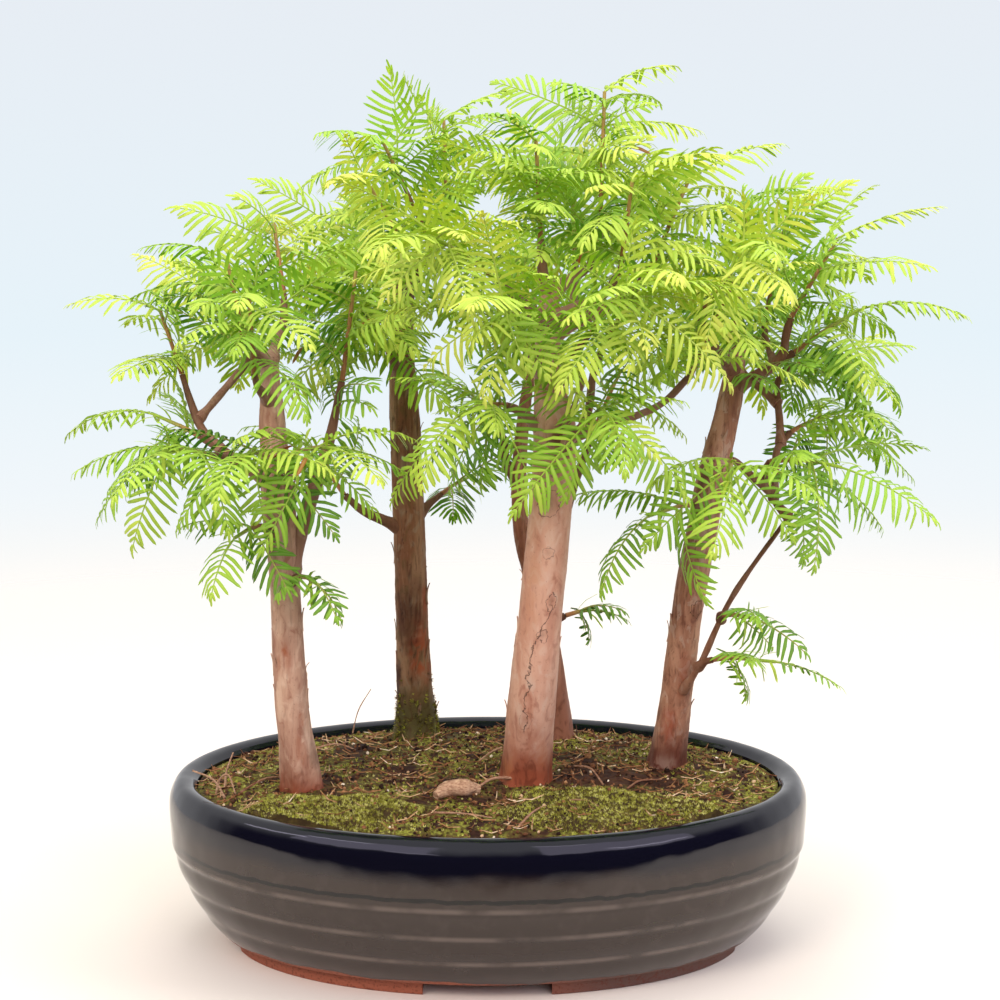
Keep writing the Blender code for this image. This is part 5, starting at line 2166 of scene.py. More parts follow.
def pebble_form(seed: int) -> tuple:
    """An uneven grain about one unit across: its points and its triangles."""
    shaped = bmesh.new()
    bmesh.ops.create_icosphere(shaped, subdivisions=1, radius=0.5)
    draw = random.Random(seed)
    points = np.array([tuple(v.co * draw.uniform(0.75, 1.2)) for v in shaped.verts])
    shaped.verts.index_update()
    faces = [[v.index for v in face.verts] for face in shaped.faces]
    shaped.free()
    return points, [faces]


def tuft_form(spikes: int, seed: int) -> tuple:
    """A tuft of moss one unit high: pointed leaves that lean outwards."""
    draw = random.Random(seed)
    points = []
    faces = []
    for number in range(spikes):
        turn = math.tau * (number + draw.uniform(-0.3, 0.3)) / spikes
        lean = draw.uniform(0.25, 0.75)
        way = Vector((math.cos(turn), math.sin(turn), 0))
        side = Vector((-way.y, way.x, 0))
        low = len(points)
        points += [side * 0.13 + way * 0.05, side * -0.13 + way * 0.05, way * 0.24,
                   way * lean + UP * draw.uniform(0.8, 1.1)]
        faces += [(low, low + 2, low + 3), (low + 2, low + 1, low + 3), (low + 1, low, low + 3),
                  (low, low + 1, low + 2)]
    return np.array([tuple(point) for point in points]), [faces]


def needle_form() -> tuple:
    """A dry leaflet one unit long, flat and slightly curled."""
    points = []
    for share, swell in ((0, 0.4), (0.5, 1), (1, 0.3)):
        bend = 0.12 * (2 * share - 1) ** 2
        points += [(share - 0.5, -0.06 * swell, bend), (share - 0.5, 0.06 * swell, bend),
                   (share - 0.5, 0, bend + 0.03)]
    faces = []
    for level in range(2):
        low = level * 3
        for a, b in ((1, 0), (2, 1), (0, 2)):
            faces.append((low + a, low + b, low + 3 + b, low + 3 + a))
    return np.array(points), [faces, [(0, 1, 2), (8, 7, 6)]]


@dataclass(frozen=True)
class EarthFinish:
    """Moist organic soil: dark crumbs with clay and fibre.

    Attributes:
        stops: its colours, from dark hollows to dry crumbs.
        roughness: matt, with a trace of damp shine.
    """

    stops: tuple = (
        (0.0, "#170C08"), (0.25, "#301B12"), (0.45, "#503220"), (0.62, "#744A30"), (0.78, "#9C7048"),
        (0.9, "#C8A67E"), (1.0, "#E8DAC4"),
    )
    roughness: float = 0.88

    def make(self) -> bpy.types.Material:
        """Make the soil material."""
        made, tree, output = new_material("moist organic soil, sieved and watered")
        tone = attribute(tree, "tone")
        # Crumbs of about 2 mm and clods of about 9 mm.
        crumbs = cloud(tree, 2 * MM, 5.0)
        clods = cloud(tree, 9 * MM, 3.0)
        mixed = add_node(tree, "Math", {"operation": "MULTIPLY_ADD", 1: 0.5, 0: crumbs, 2: tone})
        moved = add_node(tree, "Math", {"operation": "MULTIPLY_ADD", 1: 0.35, 0: clods, 2: mixed})
        place = add_node(tree, "Math", {"operation": "SUBTRACT", 1: 0.42, 0: moved})
        colour = add_node(tree, "ValToRGB", {"stops": self.stops, "Fac": place})
        green = add_node(tree, "Math",
                         {"operation": "MULTIPLY", 0: attribute(tree, "moss"),
                          1: masked(tree, clods, 0.4, 0.55)})
        # Fine moss of about 1.5 mm shows between the crumbs, brown and olive by turns.
        speck = add_node(tree, "Math",
                         {"operation": "MULTIPLY", 0: green,
                          1: masked(tree, cloud(tree, 1.5 * MM, 3.0), 0.42, 0.6)})
        mossy = layered(tree, colour.outputs["Color"], "#5A5020", green.outputs[0])
        mossy = layered(tree, mossy, "#8E9038", speck.outputs[0])
        bump = add_node(tree, "Bump", {"Strength": 0.9, "Distance": 0.8 * MM, "Height": crumbs})
        shader = add_node(tree, "BsdfPrincipled",
                          {"Roughness": self.roughness, "IOR": 1.4, "Metallic": 0.0, "Base Color": mossy,
                           "Normal": bump})
        tree.links.new(shader.outputs[0], output.inputs["Surface"])
        return made


@dataclass(frozen=True)
class MossFinish:
    """Living moss: short soft leaves, yellow green at their tips and dark olive brown between them, partly
    older growth and partly painted shade between the tufts.

    Attributes:
        stops: its colours from dark and dry to bright and wet.
        roughness: matt.
    """

    stops: tuple = (
        (0.0, "#3A2C18"), (0.22, "#5C4E24"), (0.45, "#7C742E"), (0.65, "#9A9A38"), (0.82, "#BEC04C"),
        (1.0, "#DAD682"),
    )
    roughness: float = 0.8

    def make(self) -> bpy.types.Material:
        """Make the moss material."""
        made, tree, output = new_material("cushion moss, living")
        tone = attribute(tree, "tone")
        # Light and dark patches of about 8 mm.
        patch = cloud(tree, 8 * MM, 3.0)
        fine = cloud(tree, 1.1 * MM, 3.0)
        mixed = add_node(tree, "Math", {"operation": "MULTIPLY_ADD", 1: 0.55, 0: patch, 2: tone})
        moved = add_node(tree, "Math", {"operation": "MULTIPLY_ADD", 1: 0.35, 0: fine, 2: mixed})
        place = add_node(tree, "Math", {"operation": "SUBTRACT", 1: 0.45, 0: moved})
        colour = add_node(tree, "ValToRGB", {"stops": self.stops, "Fac": place})
        bump = add_node(tree, "Bump", {"Strength": 0.8, "Distance": 0.6 * MM, "Height": fine})
        shader = add_node(tree, "BsdfPrincipled",
                          {"Roughness": self.roughness, "IOR": 1.4, "Metallic": 0.0,
                           "Base Color": colour.outputs["Color"], "Normal": bump})
        tree.links.new(shader.outputs[0], output.inputs["Surface"])
        return made


@dataclass(frozen=True)
class MossPatch:
    """A patch of moss on the soil, with a wavy outline."""

    node: str
    middle: tuple
    half: tuple
    phase: float

    def wave(self, turn: float) -> float:
        """How far the outline swells in or out at an angle, as a factor."""
        return 1 + 0.14 * math.sin(3 * turn + self.phase) + 0.08 * math.sin(7 * turn + 2 * self.phase)

    def share(self, x: float, y: float) -> float:
        """How far out in the patch a place is, 1 at its mean outline.

        Args:
            x: the place across.
            y: the place towards the back.

        Returns:
            The share.
        """
        across = (x / MM - self.middle[0]) / self.half[0]
        deep = (y / MM - self.middle[1]) / self.half[1]
        return math.hypot(across, deep) / self.wave(math.atan2(deep, across))


MOSS_PATCHES = (
    MossPatch("moss_left", (-68, -58), (36, 24), 0.5),
    MossPatch("moss_right", (52, -54), (50, 24), 1.7),
)
MOSS_THICK = 3.2 * MM
CUSHION_TUFTS = 8000
CARPET_TUFTS = 10500
CLIMBING_TUFTS = 1200
LITTER_PIECES = 4200


@dataclass
class Ground:
    """The soil with its moss, crumbs and litter."""

    draw: random.Random
    earth: bpy.types.Material
    moss: bpy.types.Material
    middle: Vector

    def mossiness(self, x: float, y: float) -> float:
        """How mossy the ground is at a place between the two cushions, from 0 to 1."""
        place = Vector((x, y, 0))
        grown = 0.5 + 0.9 * noise.noise(place / (26 * MM) + Vector((4, 2, 0)))
        grown += 0.35 * noise.noise(place / (8 * MM))
        out = wall_share(x, y)
        bare = max(0, 1 - math.hypot((x - 58 * MM) / (34 * MM), (y + 8 * MM) / (26 * MM)))
        return min(1, max(0, grown + 0.25 * ease(0.6, 0.95, out) - 0.8 * bare))

    def soil(self) -> bpy.types.Object:
        """Build the soil: a closed body with an uneven surface."""
        shape = Shape()
        sides = 224
        rings = [oval(SOIL_BASE_INSET, SOIL_BOTTOM, sides)]
        for inset, height in reversed(INNER_WALL[1:3]):
            rings.append(oval(inset + SOIL_CLEAR, height, sides))
        edge = oval(INNER_WALL[0][0] + SOIL_CLEAR, 0, sides)
        tones = [np.full(3 * sides, 0.3)]
        mosses = [np.zeros(3 * sides)]
        levels = 84
        for level in range(levels):
            ring = edge * (1 - level / levels)
            green = []
            for point in ring:
                x, y = point[0], point[1]
                point[2] = soil_height(x, y) + soil_bump(x, y) * ease(0, 3, level)
                green.append(self.mossiness(x, y))
            rings.append(ring)
            tones.append(np.full(sides, 0.3))
            mosses.append(np.array(green))
        faces = [ring_faces(levels + 3, sides), *ring_caps((levels + 3) * sides, sides)]
        shape.add(np.concatenate(rings), faces, 0,
                  tone=np.concatenate(tones), moss=np.concatenate(mosses))
        piece = shape.build("soil_fine", [self.earth], self.middle, 60)
        return register(piece, Slot.SOIL, "soil")

    def cushion(self, patch: MossPatch) -> bpy.types.Object:
        """Build one moss cushion with its tufts.

        Args:
            patch: its place and outline.

        Returns:
            The piece.
        """
        shape = Shape()
        sides, levels = 120, 30
        under = []
        over = []
        for level in range(levels):
            share = 1 - level / levels
            low = []
            high = []
            for i in range(sides):
                turn = math.tau * i / sides
                wave = patch.wave(turn)
                x = (patch.middle[0] + patch.half[0] * share * wave * math.cos(turn)) * MM
                y = (patch.middle[1] + patch.half[1] * share * wave * math.sin(turn)) * MM
                out = wall_share(x, y) / 0.975
                if out > 1:
                    x, y = x / out, y / out
                place = Vector((x, y, 0))
                swell = noise.noise(place / (9 * MM)) + 0.5 * noise.noise(place / (3.5 * MM))
                thick = MOSS_THICK * (ease(1, 0.72, share) * 0.9 + 0.1) * (1 + 0.6 * swell)
                floor = soil_height(x, y) - 0.6 * MM
                low.append((x, y, floor))
                # The cushion hides the soil's bumps but for its thin edge.
                cover = (soil_bump(x, y) + 0.7 * MM) * ease(1, 0.85, share)
                high.append((x, y, max(floor + 0.4 * MM, soil_height(x, y) + max(thick, cover))))
            under.append(low)
            over.append(high)
        rings = [under[0], *over]
        faces = [ring_faces(levels + 1, sides), *ring_caps((levels + 1) * sides, sides)]
        # The body under the tufts takes the darkest moss colours: partly older brown growth, partly painted
        # shade between the tufts.
        shape.add(np.array(rings).reshape(-1, 3), faces, 0, tone=0.05)
        surface = BVHTree.FromPolygons([Vector(p) for ring in over for p in ring],
                                       [tuple(f) for f in ring_faces(levels, sides)])
        self.add_tufts(shape, surface, [patch], CUSHION_TUFTS)
        piece = shape.build(patch.node + "_fine", [self.moss], self.middle, 70)
        return register(piece, Slot.MOSS, patch.node)

    def add_tufts(self, shape: Shape, surface: BVHTree, patches: list, count: int) -> None:
        """Set tufts of moss on a surface.

        Args:
            shape: the shape they are added to.
            surface: what they stand on.
            patches: the patches that they keep to, or none for mossy ground between them.
            count: how many are tried.
        """
        kinds = [Scatter(*tuft_form(4, seed), shape) for seed in range(4)]
        for _ in range(count):
            if patches:
                patch = patches[0]
                turn, reach = self.draw.uniform(0, math.tau), math.sqrt(self.draw.random()) * 1.25
                x = (patch.middle[0] + patch.half[0] * reach * math.cos(turn)) * MM
                y = (patch.middle[1] + patch.half[1] * reach * math.sin(turn)) * MM
            else:
                turn, reach = self.draw.uniform(0, math.tau), math.sqrt(self.draw.random())
                x = (POT_HALF_LENGTH - 14 * MM) * reach * math.cos(turn)
                y = (POT_HALF_WIDTH - 14 * MM) * reach * math.sin(turn)
                if self.draw.random() > self.mossiness(x, y) ** 1.5:
                    continue
            if wall_share(x, y) > 0.98:
                continue
            hit = surface.ray_cast(Vector((x, y, 0.2)), -UP)
            if hit[0] is None:
                continue
            size = self.draw.uniform(0.7, 1.6) * MM
            place = hit[0] - UP * (0.25 * MM)
            lean = UP.rotation_difference((hit[1] + UP).normalized()).to_matrix()
            self.draw.choice(kinds).put(place, lean @ spin(self.draw, 0.25), (size * 0.9, size * 0.9, size),
                                        tone=self.draw.choice((0.1, 0.3, 0.5, 0.65, 0.8, 1.0)))
        for kind in kinds:
            kind.finish()

    def climb(self, shape: Shape, tree: Tree) -> None:
        """Let moss climb up the foot of a trunk.

        Args:
            shape: the shape it is added to.
            tree: the tree.
        """
        line, radii = smooth_line(*tree.line(), 1 * MM)
        kinds = [Scatter(*tuft_form(4, seed), shape) for seed in range(3)]
        for _ in range(CLIMBING_TUFTS):
            high = (72 + 36 * self.draw.random() ** 1.5) * MM
            index = min(range(len(line)), key=lambda i: abs(line[i].z - high))
            turn = self.draw.uniform(0, math.tau)
            out = Vector((math.cos(turn), math.sin(turn), 0))
            if noise.noise(Vector((5 * turn, high / (9 * MM), 0))) < (high / MM - 92) / 26:
                continue
            size = self.draw.uniform(0.9, 2.0) * MM
            lean = UP.rotation_difference((out + UP * 0.4).normalized()).to_matrix()
            self.draw.choice(kinds).put(line[index] + out * (radii[index] - 0.1 * MM),
                                        lean @ spin(self.draw, 0.3),
                                        (size, size, size), tone=self.draw.choice((0.1, 0.3, 0.5, 0.75)))
        for kind in kinds:
            kind.finish()

    def surface(self, piece: bpy.types.Object) -> BVHTree:
        """The surface of a finished piece, measured from the pot's middle."""
        points = [vertex.co - self.middle for vertex in piece.data.vertices]
        return BVHTree.FromPolygons(points, [tuple(face.vertices) for face in piece.data.polygons])

    def carpet(self, surface: BVHTree) -> bpy.types.Object:
        """Build the thin moss between the cushions."""
        shape = Shape()
        self.add_tufts(shape, surface, [], CARPET_TUFTS)
        self.climb(shape, TREES[1])
        piece = shape.build("moss_carpet", [self.moss], self.middle, 70)
        return register(piece, Slot.MOSS)

    def litter(self, surfaces: list) -> bpy.types.Object:
        """Build the crumbs, grit and dry leaflets that lie on the ground.

        Args:
            surfaces: the soil's surface, then the cushions'.

        Returns:
            The piece.
        """
        shape = Shape()
        grains = [Scatter(*pebble_form(seed), shape) for seed in range(5)]
        needles = Scatter(*needle_form(), shape)
        for _ in range(LITTER_PIECES):
            turn, reach = self.draw.uniform(0, math.tau), math.sqrt(self.draw.random()) * 0.985
            x = (POT_HALF_LENGTH - 13 * MM) * reach * math.cos(turn)
            y = (POT_HALF_WIDTH - 13 * MM) * reach * math.sin(turn)
            hits = [surface.ray_cast(Vector((x, y, 0.2)), -UP) for surface in surfaces]
            hits = [found for found in hits if found[0] is not None]
            pick = self.draw.random()
            # The cushions carry a third as much as the bare soil.
            if not hits or (len(hits) > 1 and self.draw.random() > 0.35):
                continue
            hit = max(hits, key=lambda found: found[0].z)
            if pick < 0.8:
                size = self.draw.uniform(0.6, 2.0) * MM * (1.7 if self.draw.random() < 0.05 else 1)
                tone = self.draw.choice((0.1, 0.25, 0.35, 0.45, 0.58, 0.7))
                if self.draw.random() < 0.06:
                    tone = self.draw.uniform(0.8, 1.0)
                sides = tuple(size * self.draw.uniform(0.7, 1.2) for _ in range(3))
                self.draw.choice(grains).put(hit[0] + UP * (size * 0.15), spin(self.draw, math.pi), sides,
                                             tone=tone, moss=0.0)
            else:
                size = self.draw.uniform(6, 12) * MM
                needles.put(hit[0] + UP * (0.6 * MM), spin(self.draw, 0.25), (size, size * 0.6, size),
                            tone=self.draw.uniform(0.4, 0.9), moss=0.0)
        for scatter in grains + [needles]:
            scatter.finish()
        piece = shape.build("litter", [self.earth], self.middle, 60)
        return register(piece, Slot.SOIL)


@dataclass(frozen=True)
class PlasticFinish:
    """Black moulded polypropylene mesh, matt from its tool."""

    colour: str = "#17181A"
    roughness: float = 0.55

    def make(self) -> bpy.types.Material:
        """Make the plastic material."""
        made, tree, output = new_material("black polypropylene, moulded")
        grain = cloud(tree, 0.5 * MM, 2.0)
        bump = add_node(tree, "Bump", {"Strength": 0.3, "Distance": 0.05 * MM, "Height": grain})
        shader = add_node(tree, "BsdfPrincipled",
                          {"Base Color": self.colour, "Roughness": self.roughness, "IOR": 1.49,
                           "Metallic": 0.0, "Normal": bump})
        tree.links.new(shader.outputs[0], output.inputs["Surface"])
        return made


@dataclass(frozen=True)
class DeadWoodFinish:
    """Weathered root wood, pale and dry."""

    base: str = "#A98468"
    dark: str = "#7A5640"
    roughness: float = 0.85

    def make(self) -> bpy.types.Material:
        """Make the dead wood material."""
        made, tree, output = new_material("weathered root wood, bare")
        streak = cloud(tree, 1.6 * MM, 4.0, 0.4)
        plain = add_node(tree, "ValToRGB",
                         {"stops": ((0.28, self.dark), (0.5, self.base), (0.74, "#C8A888")), "Fac": streak})
        colour = layered(tree, plain.outputs["Color"], "#6B3A24", attribute(tree, "red"))
        bump = add_node(tree, "Bump", {"Strength": 0.8, "Distance": 0.3 * MM, "Height": streak})
        shader = add_node(tree, "BsdfPrincipled",
                          {"Roughness": self.roughness, "IOR": 1.45, "Metallic": 0.0, "Base Color": colour,
                           "Normal": bump})
        tree.links.new(shader.outputs[0], output.inputs["Surface"])
        return made


@dataclass(frozen=True)
class Twiglet:
    """A root, stalk or twig that lies on the ground.

    Attributes:
        places: x, y and height above the soil, in millimetres.
        radii: the radius at the first and last place, in millimetres.
        red: how red it is, from 0 for pale wood to 1.
    """

    places: tuple
    radii: tuple
    red: float = 0.0


TWIGLETS = (
    Twiglet(((-113, -29, 0), (-118, -29, 9), (-127, -29, 14)), (0.6, 0.35)),
    Twiglet(((-115, -14, 0), (-114, -14, 8), (-111, -14, 16)), (0.6, 0.35)),
    Twiglet(((-118, -22, 0), (-116, -22, 7), (-112, -24, 9), (-109, -26, 1)), (0.5, 0.35)),
    Twiglet(((-107, -24, 1), (-98, -14, 3), (-90, -5, 1)), (0.6, 0.4), 0.5),
    Twiglet(((12, -78, 1), (20, -64, 3.5), (31, -46, 1)), (0.6, 0.4), 0.4),
    Twiglet(((31, -46, 1), (42, -52, 3.5), (52, -61, 1)), (0.5, 0.4), 0.5),
    Twiglet(((12, -26, 4), (2, -30, 5), (-6, -34, 1)), (0.8, 0.5), 0.3),
    Twiglet(((60, -30, 2), (66, -22, 3), (76, -12, 1)), (0.5, 0.3), 0.7),
    Twiglet(((-22, -60, 1), (-10, -64, 2), (2, -66, 1)), (0.5, 0.3), 0.3),
    Twiglet(((6, 0, 10), (1, 6, 6), (-4, 10, 1)), (0.5, 0.4)),
    Twiglet(((38, 0, 2), (45, -10, 4), (50, -23, 1)), (0.5, 0.4), 0.4),
    Twiglet(((-65, 76, 0), (-62, 78, 12), (-56, 80, 22)), (0.35, 0.2), 0.2),
    Twiglet(((-80, 44, 1), (-70, 42, 3), (-61, 37, 1)), (0.5, 0.3), 0.3),
)


@dataclass(frozen=True)
class Roots:
    """The bent root stub beside the centre trunk and the twigs on the ground."""

    finish: bpy.types.Material
    middle: Vector

    def knuckle(self) -> bpy.types.Object:
        """Build the root stub as a gnarled closed tube."""
        plan = ((-4, -37, 2.2), (-10, -40, 3.8), (-17, -40, 3.4), (-22, -44, 1.8))
        line = [on_soil(x, y, radius + 0.6) for x, y, radius in plan]
        fine, thick = smooth_line(line, [radius * MM for _, _, radius in plan], 0.6 * MM)
        points = []
        sides = 28
        for place, radius, (along, side) in zip(fine, thick, frames(fine)):
            other = along.cross(side)
            for i in range(sides):
                a = math.tau * i / sides
                out = side * math.cos(a) + other * math.sin(a)
                spot = place + out * radius
                lift = 0.5 * MM * noise.noise(spot / (2.6 * MM)) + 0.2 * MM * noise.noise(spot / (0.9 * MM))
                points.append(tuple(spot + out * lift))
        shape = Shape()
        faces = [ring_faces(len(fine), sides), *ring_caps(len(points), sides)]
        shape.add(np.array(points), faces, 0, red=0.0)
        piece = shape.build("root_knuckle_fine", [self.finish], self.middle, 60)
        return register(piece, Slot.DEAD_WOOD, "root_knuckle")

    def twiglets(self) -> bpy.types.Object:
        """Build the twigs and stalks on the ground."""
        shape = Shape()
        for twig in TWIGLETS:
            line = [on_soil(*place) for place in twig.places]
            radii = [radius * MM for radius in tapered(*twig.radii, len(line))]
            fine, radii = smooth_line(line, radii, 1.2 * MM)
            radii = [r * (1 + 0.3 * noise.noise(p / (2 * MM))) for p, r in zip(fine, radii)]
            capped_tube(shape, fine, radii, 7, 0, red=twig.red)
        piece = shape.build("ground_twigs", [self.finish], self.middle)
        return register(piece, Slot.DEAD_WOOD)


@dataclass(frozen=True)
class Studio:
    """A pale photographic set: a large floor, soft lights and a bright backdrop.

    Attributes:
        backdrop: its colours from the floor up.
        room: the colour of the light all round.
        dim: the colour of the room behind the viewer.
        window: the colour of its windows.
        panels: each window's azimuth and elevation, from and to, in degrees, and its brightness.
        camera: how far the camera stands right of the pot's middle, in front of it, and above the ground.
        pitch: how far it looks down, in degrees.
        lens: its focal length in millimetres.
        sensor: its sensor's width in millimetres.
    """

    backdrop: tuple = (
        (0.1, "#FFFAF3"), (0.3, "#FEFBF6"), (0.4, "#FAFBF9"), (0.49, "#F1F7FB"), (0.62, "#E7F3FA"),
        (1.0, "#E7EBF2"))
    room: str = "#F8F8FA"
    dim: str = "#26212B"
    window: str = "#CCC6DC"
    panels: tuple = (
        (-62, -15, 24, 43, 1.9), (16, 66, 22, 46, 1.7), (-88, -58, 33, 36, 7.0), (-60, -38, 41.5, 43, 8.0),
        (-30, -14, 23, 24.2, 5.0), (14, 30, 45, 46.2, 6.0), (36, 62, 26, 27.5, 6.0))
    camera: tuple = (5.3 * MM, 1.0, 0.362)
    pitch: float = 9.35
    lens: float = 84
    sensor: float = 36

    def world(self) -> None:
        """Make the backdrop, bright all round but for the room behind the viewer."""
        world = bpy.data.worlds.new("pale room")
        world.use_nodes = True
        tree = world.node_tree
        tree.nodes.clear()
        output = add_node(tree, "OutputWorld")
        way = add_node(tree, "TexCoord").outputs["Generated"]
        split = add_node(tree, "SeparateXYZ", {0: way})
        level = add_node(tree, "MapRange", {1: -0.4, 2: 0.1, 0: split.outputs["Z"]})
        backdrop = add_node(tree, "ValToRGB", {"stops": self.backdrop, "Fac": level})
        # Seen by the pieces, the room is dim behind the viewer and bright above and all round.
        near = masked(tree, split.outputs["Y"], 0.38, -0.2)
        under = masked(tree, split.outputs["Z"], 0.62, 0.3)
        shade = add_node(tree, "Math", {"operation": "MULTIPLY", 0: near, 1: under})
        room = add_node(tree, "Mix", {"data_type": "RGBA", 6: self.room, 7: self.dim, 0: shade})
        lit, bright = self.windows(tree, split)
        room = layered(tree, room.outputs[2], self.window, lit)
        seen = add_node(tree, "LightPath").outputs["Is Camera Ray"]
        colour = add_node(tree, "Mix", {"data_type": "RGBA", 0: seen, 6: room, 7: backdrop.outputs["Color"]})
        strong = add_node(tree, "Mix", {"data_type": "FLOAT", 3: 1.0, 0: seen, 2: bright})
        shader = add_node(tree, "Background", {"Color": colour.outputs[2], "Strength": strong})
        tree.links.new(shader.outputs[0], output.inputs["Surface"])
        bpy.context.scene.world = world

    def windows(self, tree: bpy.types.NodeTree, split: bpy.types.Node) -> tuple:
        """Where the windows behind the viewer are, and how bright each direction is.

        Args:
            tree: the world's node tree.
            split: the node with the direction's parts.

        Returns:
            A mask of the windows, and the brightness.
        """
        front = add_node(tree, "Math", {"operation": "MULTIPLY", 1: -1.0, 0: split.outputs["Y"]})
        round_about = add_node(tree, "Math", {"operation": "ARCTAN2", 0: split.outputs["X"], 1: front})
        up = add_node(tree, "Math", {"operation": "ARCSINE", 0: split.outputs["Z"]})
        lit = add_node(tree, "Value").outputs[0]
        bright = add_node(tree, "Math", {"operation": "ADD", 1: 1.0, 0: lit}).outputs[0]
        for left, right, low, high, power in self.panels:
            masks = []
            for angle, first, last in ((round_about, left, right), (up, low, high)):
                middle, half = math.radians(first + last) / 2, math.radians(last - first) / 2
                off = add_node(tree, "Math", {"operation": "SUBTRACT", 1: middle, 0: angle})
                far = add_node(tree, "Math", {"operation": "ABSOLUTE", 0: off})
                masks.append(masked(tree, far.outputs[0], half + 0.012, half - 0.012))
            box = add_node(tree, "Math", {"operation": "MULTIPLY", 0: masks[0], 1: masks[1]})
            lit = add_node(tree, "Math", {"operation": "MAXIMUM", 0: lit, 1: box}).outputs[0]
            bright = add_node(tree, "Math",
                              {"operation": "MULTIPLY_ADD", 1: power, 0: box, 2: bright}).outputs[0]
        return lit, bright

    def floor(self) -> None:
        """Make the large pale floor that fades into the backdrop."""
        shape = Shape()
        turn = math.tau * np.arange(96) / 96
        shape.add(np.stack([1.6 * np.cos(turn), 1.6 * np.sin(turn), np.zeros(96)], 1), [tuple(range(96))])
        made, tree, output = new_material("pale paper sheet, rolled")
        place = add_node(tree, "TexCoord").outputs["Object"]
        far = add_node(tree, "VectorMath", {"operation": "LENGTH", 0: place})
        # The sheet ends in front of the pot, so that its upper wall reflects the dim room.
        depth = add_node(tree, "SeparateXYZ", {0: place}).outputs["Y"]
        gone = add_node(tree, "Math",
                        {"operation": "MAXIMUM", 0: masked(tree, far.outputs["Value"], 0.22, 1.3),
                         1: masked(tree, depth, -0.18, -0.27)})
        sheet_shader = add_node(tree, "BsdfPrincipled",
                                {"Base Color": "#E2D9CD", "Roughness": 0.9, "IOR": 1.4, "Metallic": 0.0})
        clear = add_node(tree, "BsdfTransparent")
        faded = add_node(tree, "MixShader", {0: gone, 1: sheet_shader, 2: clear})
        tree.links.new(faded.outputs[0], output.inputs["Surface"])
        sheet = shape.build("floor", [made], Vector())

    def light(self, name: str, place: tuple, target: tuple, size: tuple, power: float, colour: str) -> None:
        """Add one soft light.

        Args:
            name: its name.
            place: where it hangs.
            target: what it points at.
            size: its width and height.
            power: its power in watts.
            colour: its colour.
        """
        data = bpy.data.lights.new(name, "AREA")
        data.shape = "RECTANGLE"
        data.size, data.size_y = size
        data.energy = power
        data.color = linear(colour)[:3]
        made = bpy.data.objects.new(name, data)
        made.location = place
        made.rotation_euler = (Vector(target) - Vector(place)).to_track_quat("-Z", "Y").to_euler()
        # The glaze shows the room's windows, not the lamps.
        made.visible_glossy = False
        bpy.context.scene.collection.objects.link(made)

    def build(self, middle: Vector) -> None:
        """Build the set and the camera.

        Args:
            middle: the pot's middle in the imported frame.
        """
        self.world()
        self.floor()
        self.light("key", (-0.75, -1.3, 1.05), (0, 0, 0.15), (0.7, 0.5), 17.5, "#FFF4E6")
        self.light("fill", (0.55, -1.7, 0.75), (0, 0, 0.13), (1.0, 0.55), 12.5, "#F6F0FF")
        self.light("right", (1.3, -0.4, 0.9), (0, 0, 0.15), (0.6, 0.9), 10, "#F1F4FF")
        self.light("top", (0.1, 0.3, 1.6), (0, 0, 0.1), (1.2, 1.2), 15, "#FFFFFF")
        data = bpy.data.cameras.new("camera")
        data.lens = self.lens
        data.sensor_width = self.sensor
        camera = bpy.data.objects.new("camera", data)
        across, back, high = self.camera
        camera.location = (middle.x + across, middle.y - back, high)
        camera.rotation_euler = (math.radians(90 - self.pitch), 0, 0)
        bpy.context.scene.collection.objects.link(camera)
        bpy.context.scene.camera = camera


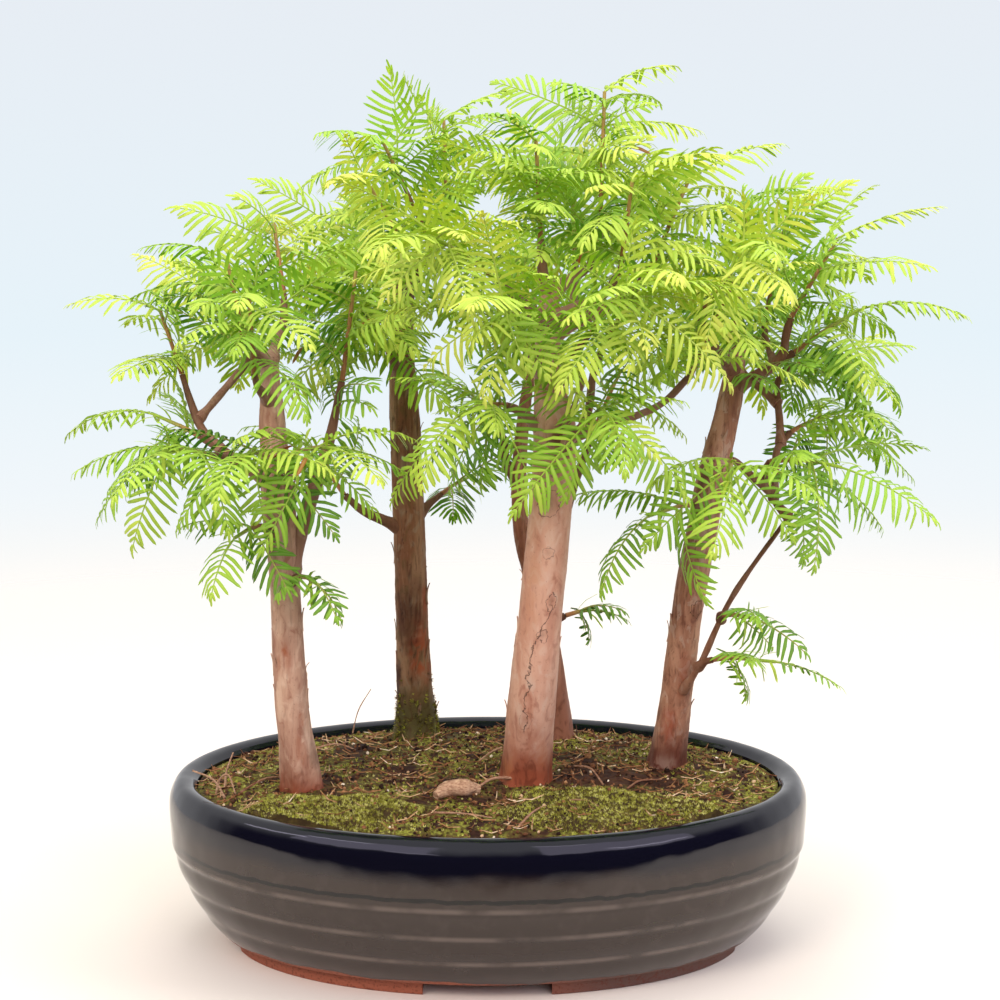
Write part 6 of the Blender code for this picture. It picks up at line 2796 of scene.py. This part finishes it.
class Forest:
    """The whole forest in its pot."""

    def __init__(self, nodes: dict, middle: Vector) -> None:
        """Grow all fronds.

        Args:
            nodes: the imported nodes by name.
            middle: the pot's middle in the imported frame.
        """
        self.nodes = nodes
        self.middle = middle
        self.space, self.woods, self.shoots = grow_forest()
        self.extra = Crown().fill(self.space, self.woods, self.shoots)
        log.info("%d fronds grown", sum(len(shoot.fronds) for shoot in self.shoots)
                 + sum(len(found) for found in self.extra.values()))

    def build_shoots(self, tree: Tree, materials: list) -> bpy.types.Object:
        """Build the leafy shoots of one tree.

        Args:
            tree: the tree.
            materials: the leaf and the stem material.

        Returns:
            The piece.
        """
        leaves = Foliage(random.Random("leaves " + tree.name))
        names = []
        for shoot in self.shoots:
            if shoot.tree != tree.name:
                continue
            names.append(shoot.name)
            line = shoot.stem.line()
            radii = tapered(STEM_BASE, STEM_TIP, len(line))
            upright = abs((line[-1] - line[0]).normalized().z) > UPRIGHT
            leaves.add_stem(line, radii, (0.95, 0.68) if upright else (0.95, 0.25))
            for frond in shoot.fronds:
                leaves.add_frond(frond, self.tone(frond, shoot.trunk, leaves.draw))
        top = mm(*tree.trunk[-1][:3])
        for frond in self.extra[tree.name]:
            leaves.add_frond(frond, self.tone(frond, top, leaves.draw))
        leaves.add_leaflets()
        piece = leaves.shape.build(f"shoots_{tree.name}", materials, self.middle, 50)
        return register(piece, Slot.FOLIAGE, *names)

    def tone(self, frond: Frond, trunk: Vector, draw: random.Random) -> float:
        """The colour of a frond: yellower high up and outside, deeper low down and inside, partly the young
        and older leaves' own colours and partly painted light and shade of the crown.

        Args:
            frond: the frond.
            trunk: the top of its tree's trunk.
            draw: random numbers.

        Returns:
            The tone, from 0 for young to 0.9 for deep green.
        """
        high = ease(200 * MM, 350 * MM, frond.root.z)
        middle = frond.rib(0.6)[0]
        out = ease(15 * MM, 75 * MM, math.hypot(middle.x - trunk.x, middle.y - trunk.y))
        # Partly leaf age and partly painted light: brighter high up and outside, painted shade low down and
        # inside.
        return min(0.9, max(0.05, 0.86 - 0.34 * high - 0.34 * out + draw.gauss(0, 0.09)))

    def build(self) -> None:
        """Build every piece."""
        Pot().build(self.middle)
        plastic = PlasticFinish().make()
        for name in ("drain_mesh_1", "drain_mesh_2"):
            node = self.nodes[name]
            node.data.materials.clear()
            node.data.materials.append(plastic)
        ground = Ground(random.Random("ground"), EarthFinish().make(), MossFinish().make(), self.middle)
        surface = ground.surface(ground.soil())
        surfaces = [surface] + [ground.surface(ground.cushion(patch)) for patch in MOSS_PATCHES]
        ground.carpet(surface)
        ground.litter(surfaces)
        roots = Roots(DeadWoodFinish().make(), self.middle)
        roots.knuckle()
        roots.twiglets()
        materials = [LeafFinish().make(), StemFinish().make()]
        for tree in TREES:
            Wood(tree, BARKS[tree.name], self.woods[tree.name],
                 random.Random("bark " + tree.name)).build(self.middle)
            self.build_shoots(tree, materials)


def main() -> None:
    """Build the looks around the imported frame."""
    logging.basicConfig(level=logging.INFO, format="%(message)s")
    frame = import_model()
    low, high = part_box("pot")
    middle = Vector(((low[0] + high[0]) / 2, (low[1] + high[1]) / 2, 0))
    Forest(frame["nodes"], middle).build()
    Studio().build(middle)
    bpy.context.scene.view_settings.view_transform = "Standard"
    bpy.context.view_layer.update()


if __name__ == "__main__":
    main()
